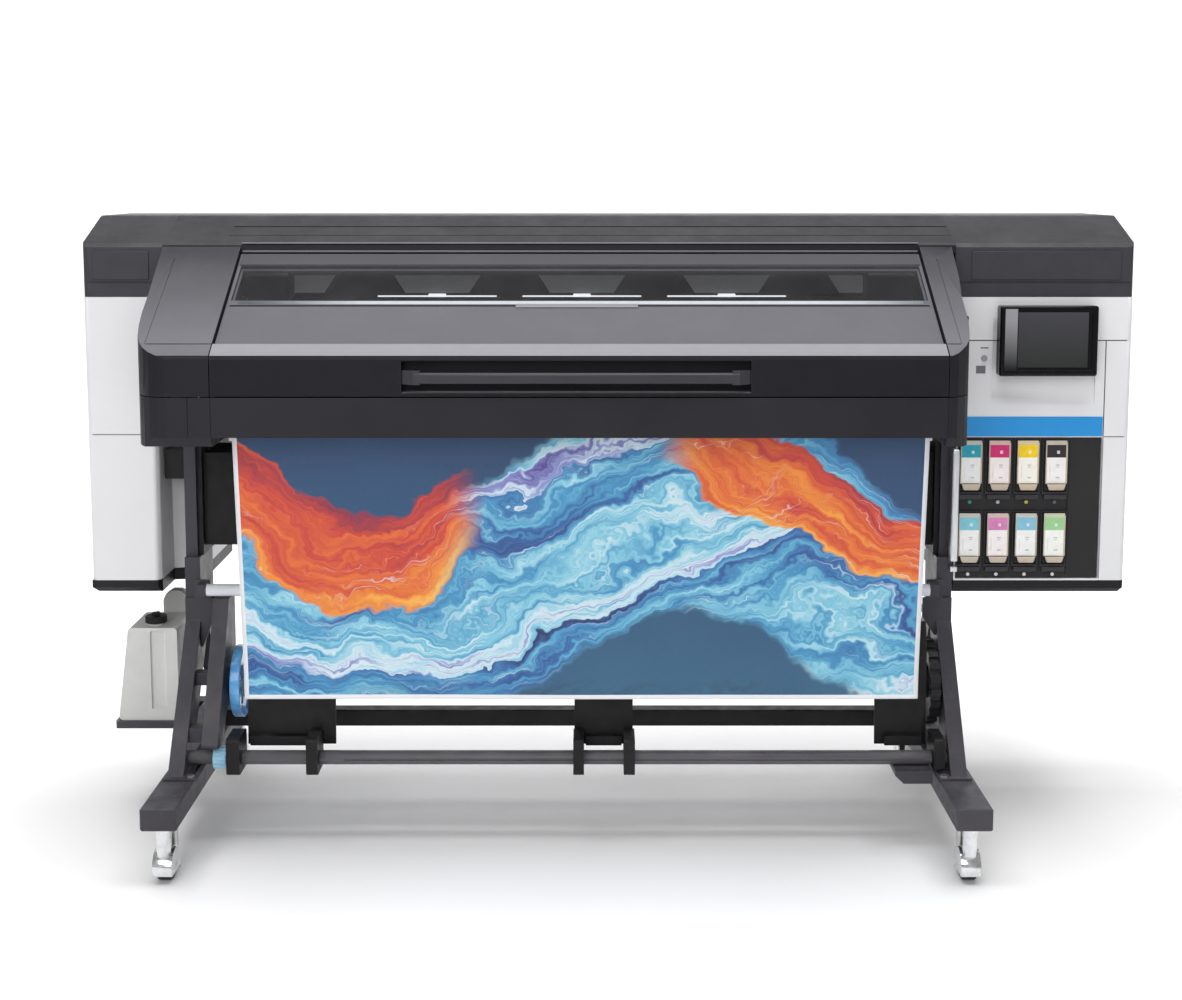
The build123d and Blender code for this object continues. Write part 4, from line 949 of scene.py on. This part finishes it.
add_box(bm, 0.6200, 0.7280, 0.0900, 0.1855, 1.2300, 1.2900, 0.003)
piece("beam_end_blocks", bm, M["dark"], "machine")
bm = bmesh.new()
add_box(bm, -0.8580, -0.7600, 0.0880, 0.1000, 1.2905, 1.3000, 0.0012)
add_box(bm, 0.6200, 0.7280, 0.0880, 0.1000, 1.2905, 1.3000, 0.0012)
piece("beam_end_trims", bm, M["alu"], "machine")

# ------------------------------------------------------------------ waste bottle cap, screws
bm = bmesh.new()
add_cyl(bm, (-1.083, 0.040, 0.4705), 2, 0.0248, 0.0242, 0.0165, 48, bev=0.0012)
for i in range(36):
    t = i / 36 * math.tau
    add_box(bm, -1.083 + 0.0246 * math.cos(t) - 0.0008, -1.083 + 0.0246 * math.cos(t) + 0.0008, 0.040 + 0.0246 * math.sin(t) - 0.0008, 0.040 + 0.0246 * math.sin(t) + 0.0008, 0.4635, 0.4780)
add_cyl(bm, (-1.083, 0.040, 0.4820), 2, 0.0120, 0.0100, 0.0080, 32, bev=0.001)
add_box(bm, -1.0850, -1.0810, 0.0160, 0.0640, 0.4788, 0.4835, 0.001)
piece("waste_bottle_cap", bm, M["dark"], "waste_bottle")

# pale drain tube behind the bottle
bm = bmesh.new()
q = [(-1.0956, 0.2313), (-1.0956, 0.4862), (-1.0884, 0.5024), (-1.0742, 0.5116), (-1.0528, 0.5116), (-1.0386, 0.5024), (-1.0314, 0.4862), (-1.0314, 0.2313)]
f = [bm.verts.new((px, 0.1534, pz)) for px, pz in q]
g = [bm.verts.new((px, 0.1826, pz)) for px, pz in q]
bm.faces.new(f)
bm.faces.new(g[::-1])
for i in range(8):
    j = (i + 1) % 8
    bm.faces.new((f[i], g[i], g[j], f[j]))
bmesh.ops.bevel(bm, geom=list(bm.edges), offset=0.003, segments=2, affect="EDGES", profile=0.5, clamp_overlap=True)
piece("waste_tube", bm, M["bottle"], "machine")

# small plain details beside the screen and the right arm
bm = bmesh.new()
add_box(bm, 0.8060, 0.8290, -0.0450, -0.0345, 1.1935, 1.2050, 0.0020, 2)
piece("arm_peg", bm, M["dark"], "machine")
# dark joint lines in the grooves between the covers
bm = bmesh.new()
add_box(bm, 0.8110, 1.1980, -0.0346, -0.0334, 1.1473, 1.1492)
add_box(bm, 1.1488, 1.1507, -0.0346, -0.0334, 0.9250, 1.1470)
piece("cover_joints", bm, M["charcoal"], "machine")
bm = bmesh.new()
add_box(bm, 1.1488, 1.1507, -0.0346, -0.0334, 0.5880, 0.9220)
add_box(bm, 1.1510, 1.1980, -0.0346, -0.0334, 0.9223, 0.9242)
add_box(bm, -1.1980, -1.0570, -0.0346, -0.0334, 0.9273, 0.9292)
piece("cover_joints_lower", bm, M["greybit"], "machine")
bm = bmesh.new()
add_box(bm, 0.8505, 0.8725, -0.0358, -0.0345, 1.0715, 1.0895, 0.0003)
add_box(bm, 0.8600, 0.8780, -0.0356, -0.0345, 1.1295, 1.1325, 0.0003)
piece("front_plain_marks", bm, M["greybit"], "machine")

bm = bmesh.new()


def screw(bm, c, axis, r=0.004, out=-1):
    add_cyl(bm, c, axis, r, r * 0.86, 0.0022, 20, bev=0.0004)
    p = list(c)
    p[axis] += out * 0.0009
    s = [r * 0.55] * 3
    s[axis] = 0.0006
    add_box(bm, p[0] - s[0], p[0] + s[0], p[1] - s[1], p[1] + s[1], p[2] - s[2], p[2] + s[2])


for x, z in ((-1.18, 0.60), (-1.18, 0.88), (-1.18, 0.955), (-1.18, 1.205), (1.18, 0.60), (1.18, 0.88), (1.18, 0.955), (1.18, 1.205)):
    screw(bm, (x, 0.4006, z), 1, 0.004, 1)
for x in (-0.9, -0.6, -0.3, 0.0, 0.3, 0.6):
    for z in (0.925, 1.335):
        screw(bm, (x, 0.4006, z), 1, 0.004, 1)
for sx, s in ((-1.2106, -1), (1.2106, 1)):
    for y, z in ((0.02, 0.60), (0.36, 0.60), (0.02, 1.20), (0.36, 1.20)):
        screw(bm, (sx, y, z), 0, 0.004, s)
piece("cover_screws", bm, M["bolt"], "machine")

# ------------------------------------------------------------------ stage, light, camera
a = Mat("studio_floor")
n = a.noise(0.8, 3)
a.to("Base Color", a.mix(a.map(n, 0.3, 0.7, 0, 1), (0.86, 0.86, 0.865), (0.90, 0.90, 0.905)))
a.to("Roughness", a.map(a.noise(4, 3), 0.3, 0.7, 0.75, 0.85))
a.set(Specular_IOR_Level=0.1)
floor_mat = a.m
verts, faces = [], []
prof = [(-14.0, 0.0), (5.0, 0.0)]
for i in range(1, 13):
    t = i / 12 * math.pi / 2
    prof.append((5.0 + 4.0 * math.sin(t), 4.0 - 4.0 * math.cos(t)))
prof.append((9.0, 16.0))
for y, z in prof:
    verts += [(-22, y, z), (22, y, z)]
for i in range(len(prof) - 1):
    faces.append((2 * i, 2 * i + 1, 2 * i + 3, 2 * i + 2))
floor = obj("studio_floor", verts, faces, floor_mat, True)

world = bpy.data.worlds.new("studio")
bpy.context.scene.world = world
world.use_nodes = True
wt = world.node_tree
bg = wt.nodes["Background"]
bg.inputs[0].default_value = (1, 1, 1, 1)
bg.inputs[1].default_value = 0.34


def area(name, loc, target, size, size_y, power, col=(1, 1, 1)):
    l = bpy.data.lights.new(name, "AREA")
    l.shape = "RECTANGLE"
    l.size, l.size_y, l.energy, l.color = size, size_y, power, col
    o = bpy.data.objects.new(name, l)
    o.location = loc
    o.rotation_euler = (Vector(target) - Vector(loc)).to_track_quat("-Z", "Y").to_euler()
    bpy.context.scene.collection.objects.link(o)
    return o


area("key_top", (0.0, -0.4, 5.2), (0, 0.0, 0.5), 5.0, 3.4, 305)
area("fill_front", (-1.6, -6.0, 3.4), (0, 0, 0.8), 4.0, 3.0, 150)
area("backdrop_wash", (0.0, 2.4, 5.5), (0, 8.5, 2.0), 10.0, 2.5, 620)

cam = bpy.data.cameras.new("main_camera")
cam.lens, cam.sensor_width, cam.sensor_fit = 50, 36, "HORIZONTAL"
cam.shift_y = -0.12
co = bpy.data.objects.new("main_camera", cam)
co.location = (-0.040, -3.807, 1.521)
co.rotation_euler = (math.radians(90 - 6.263), 0, 0)
bpy.context.scene.collection.objects.link(co)
bpy.context.scene.camera = co
bpy.context.scene.view_settings.view_transform = "Standard"
bpy.context.scene.view_settings.look = "None"
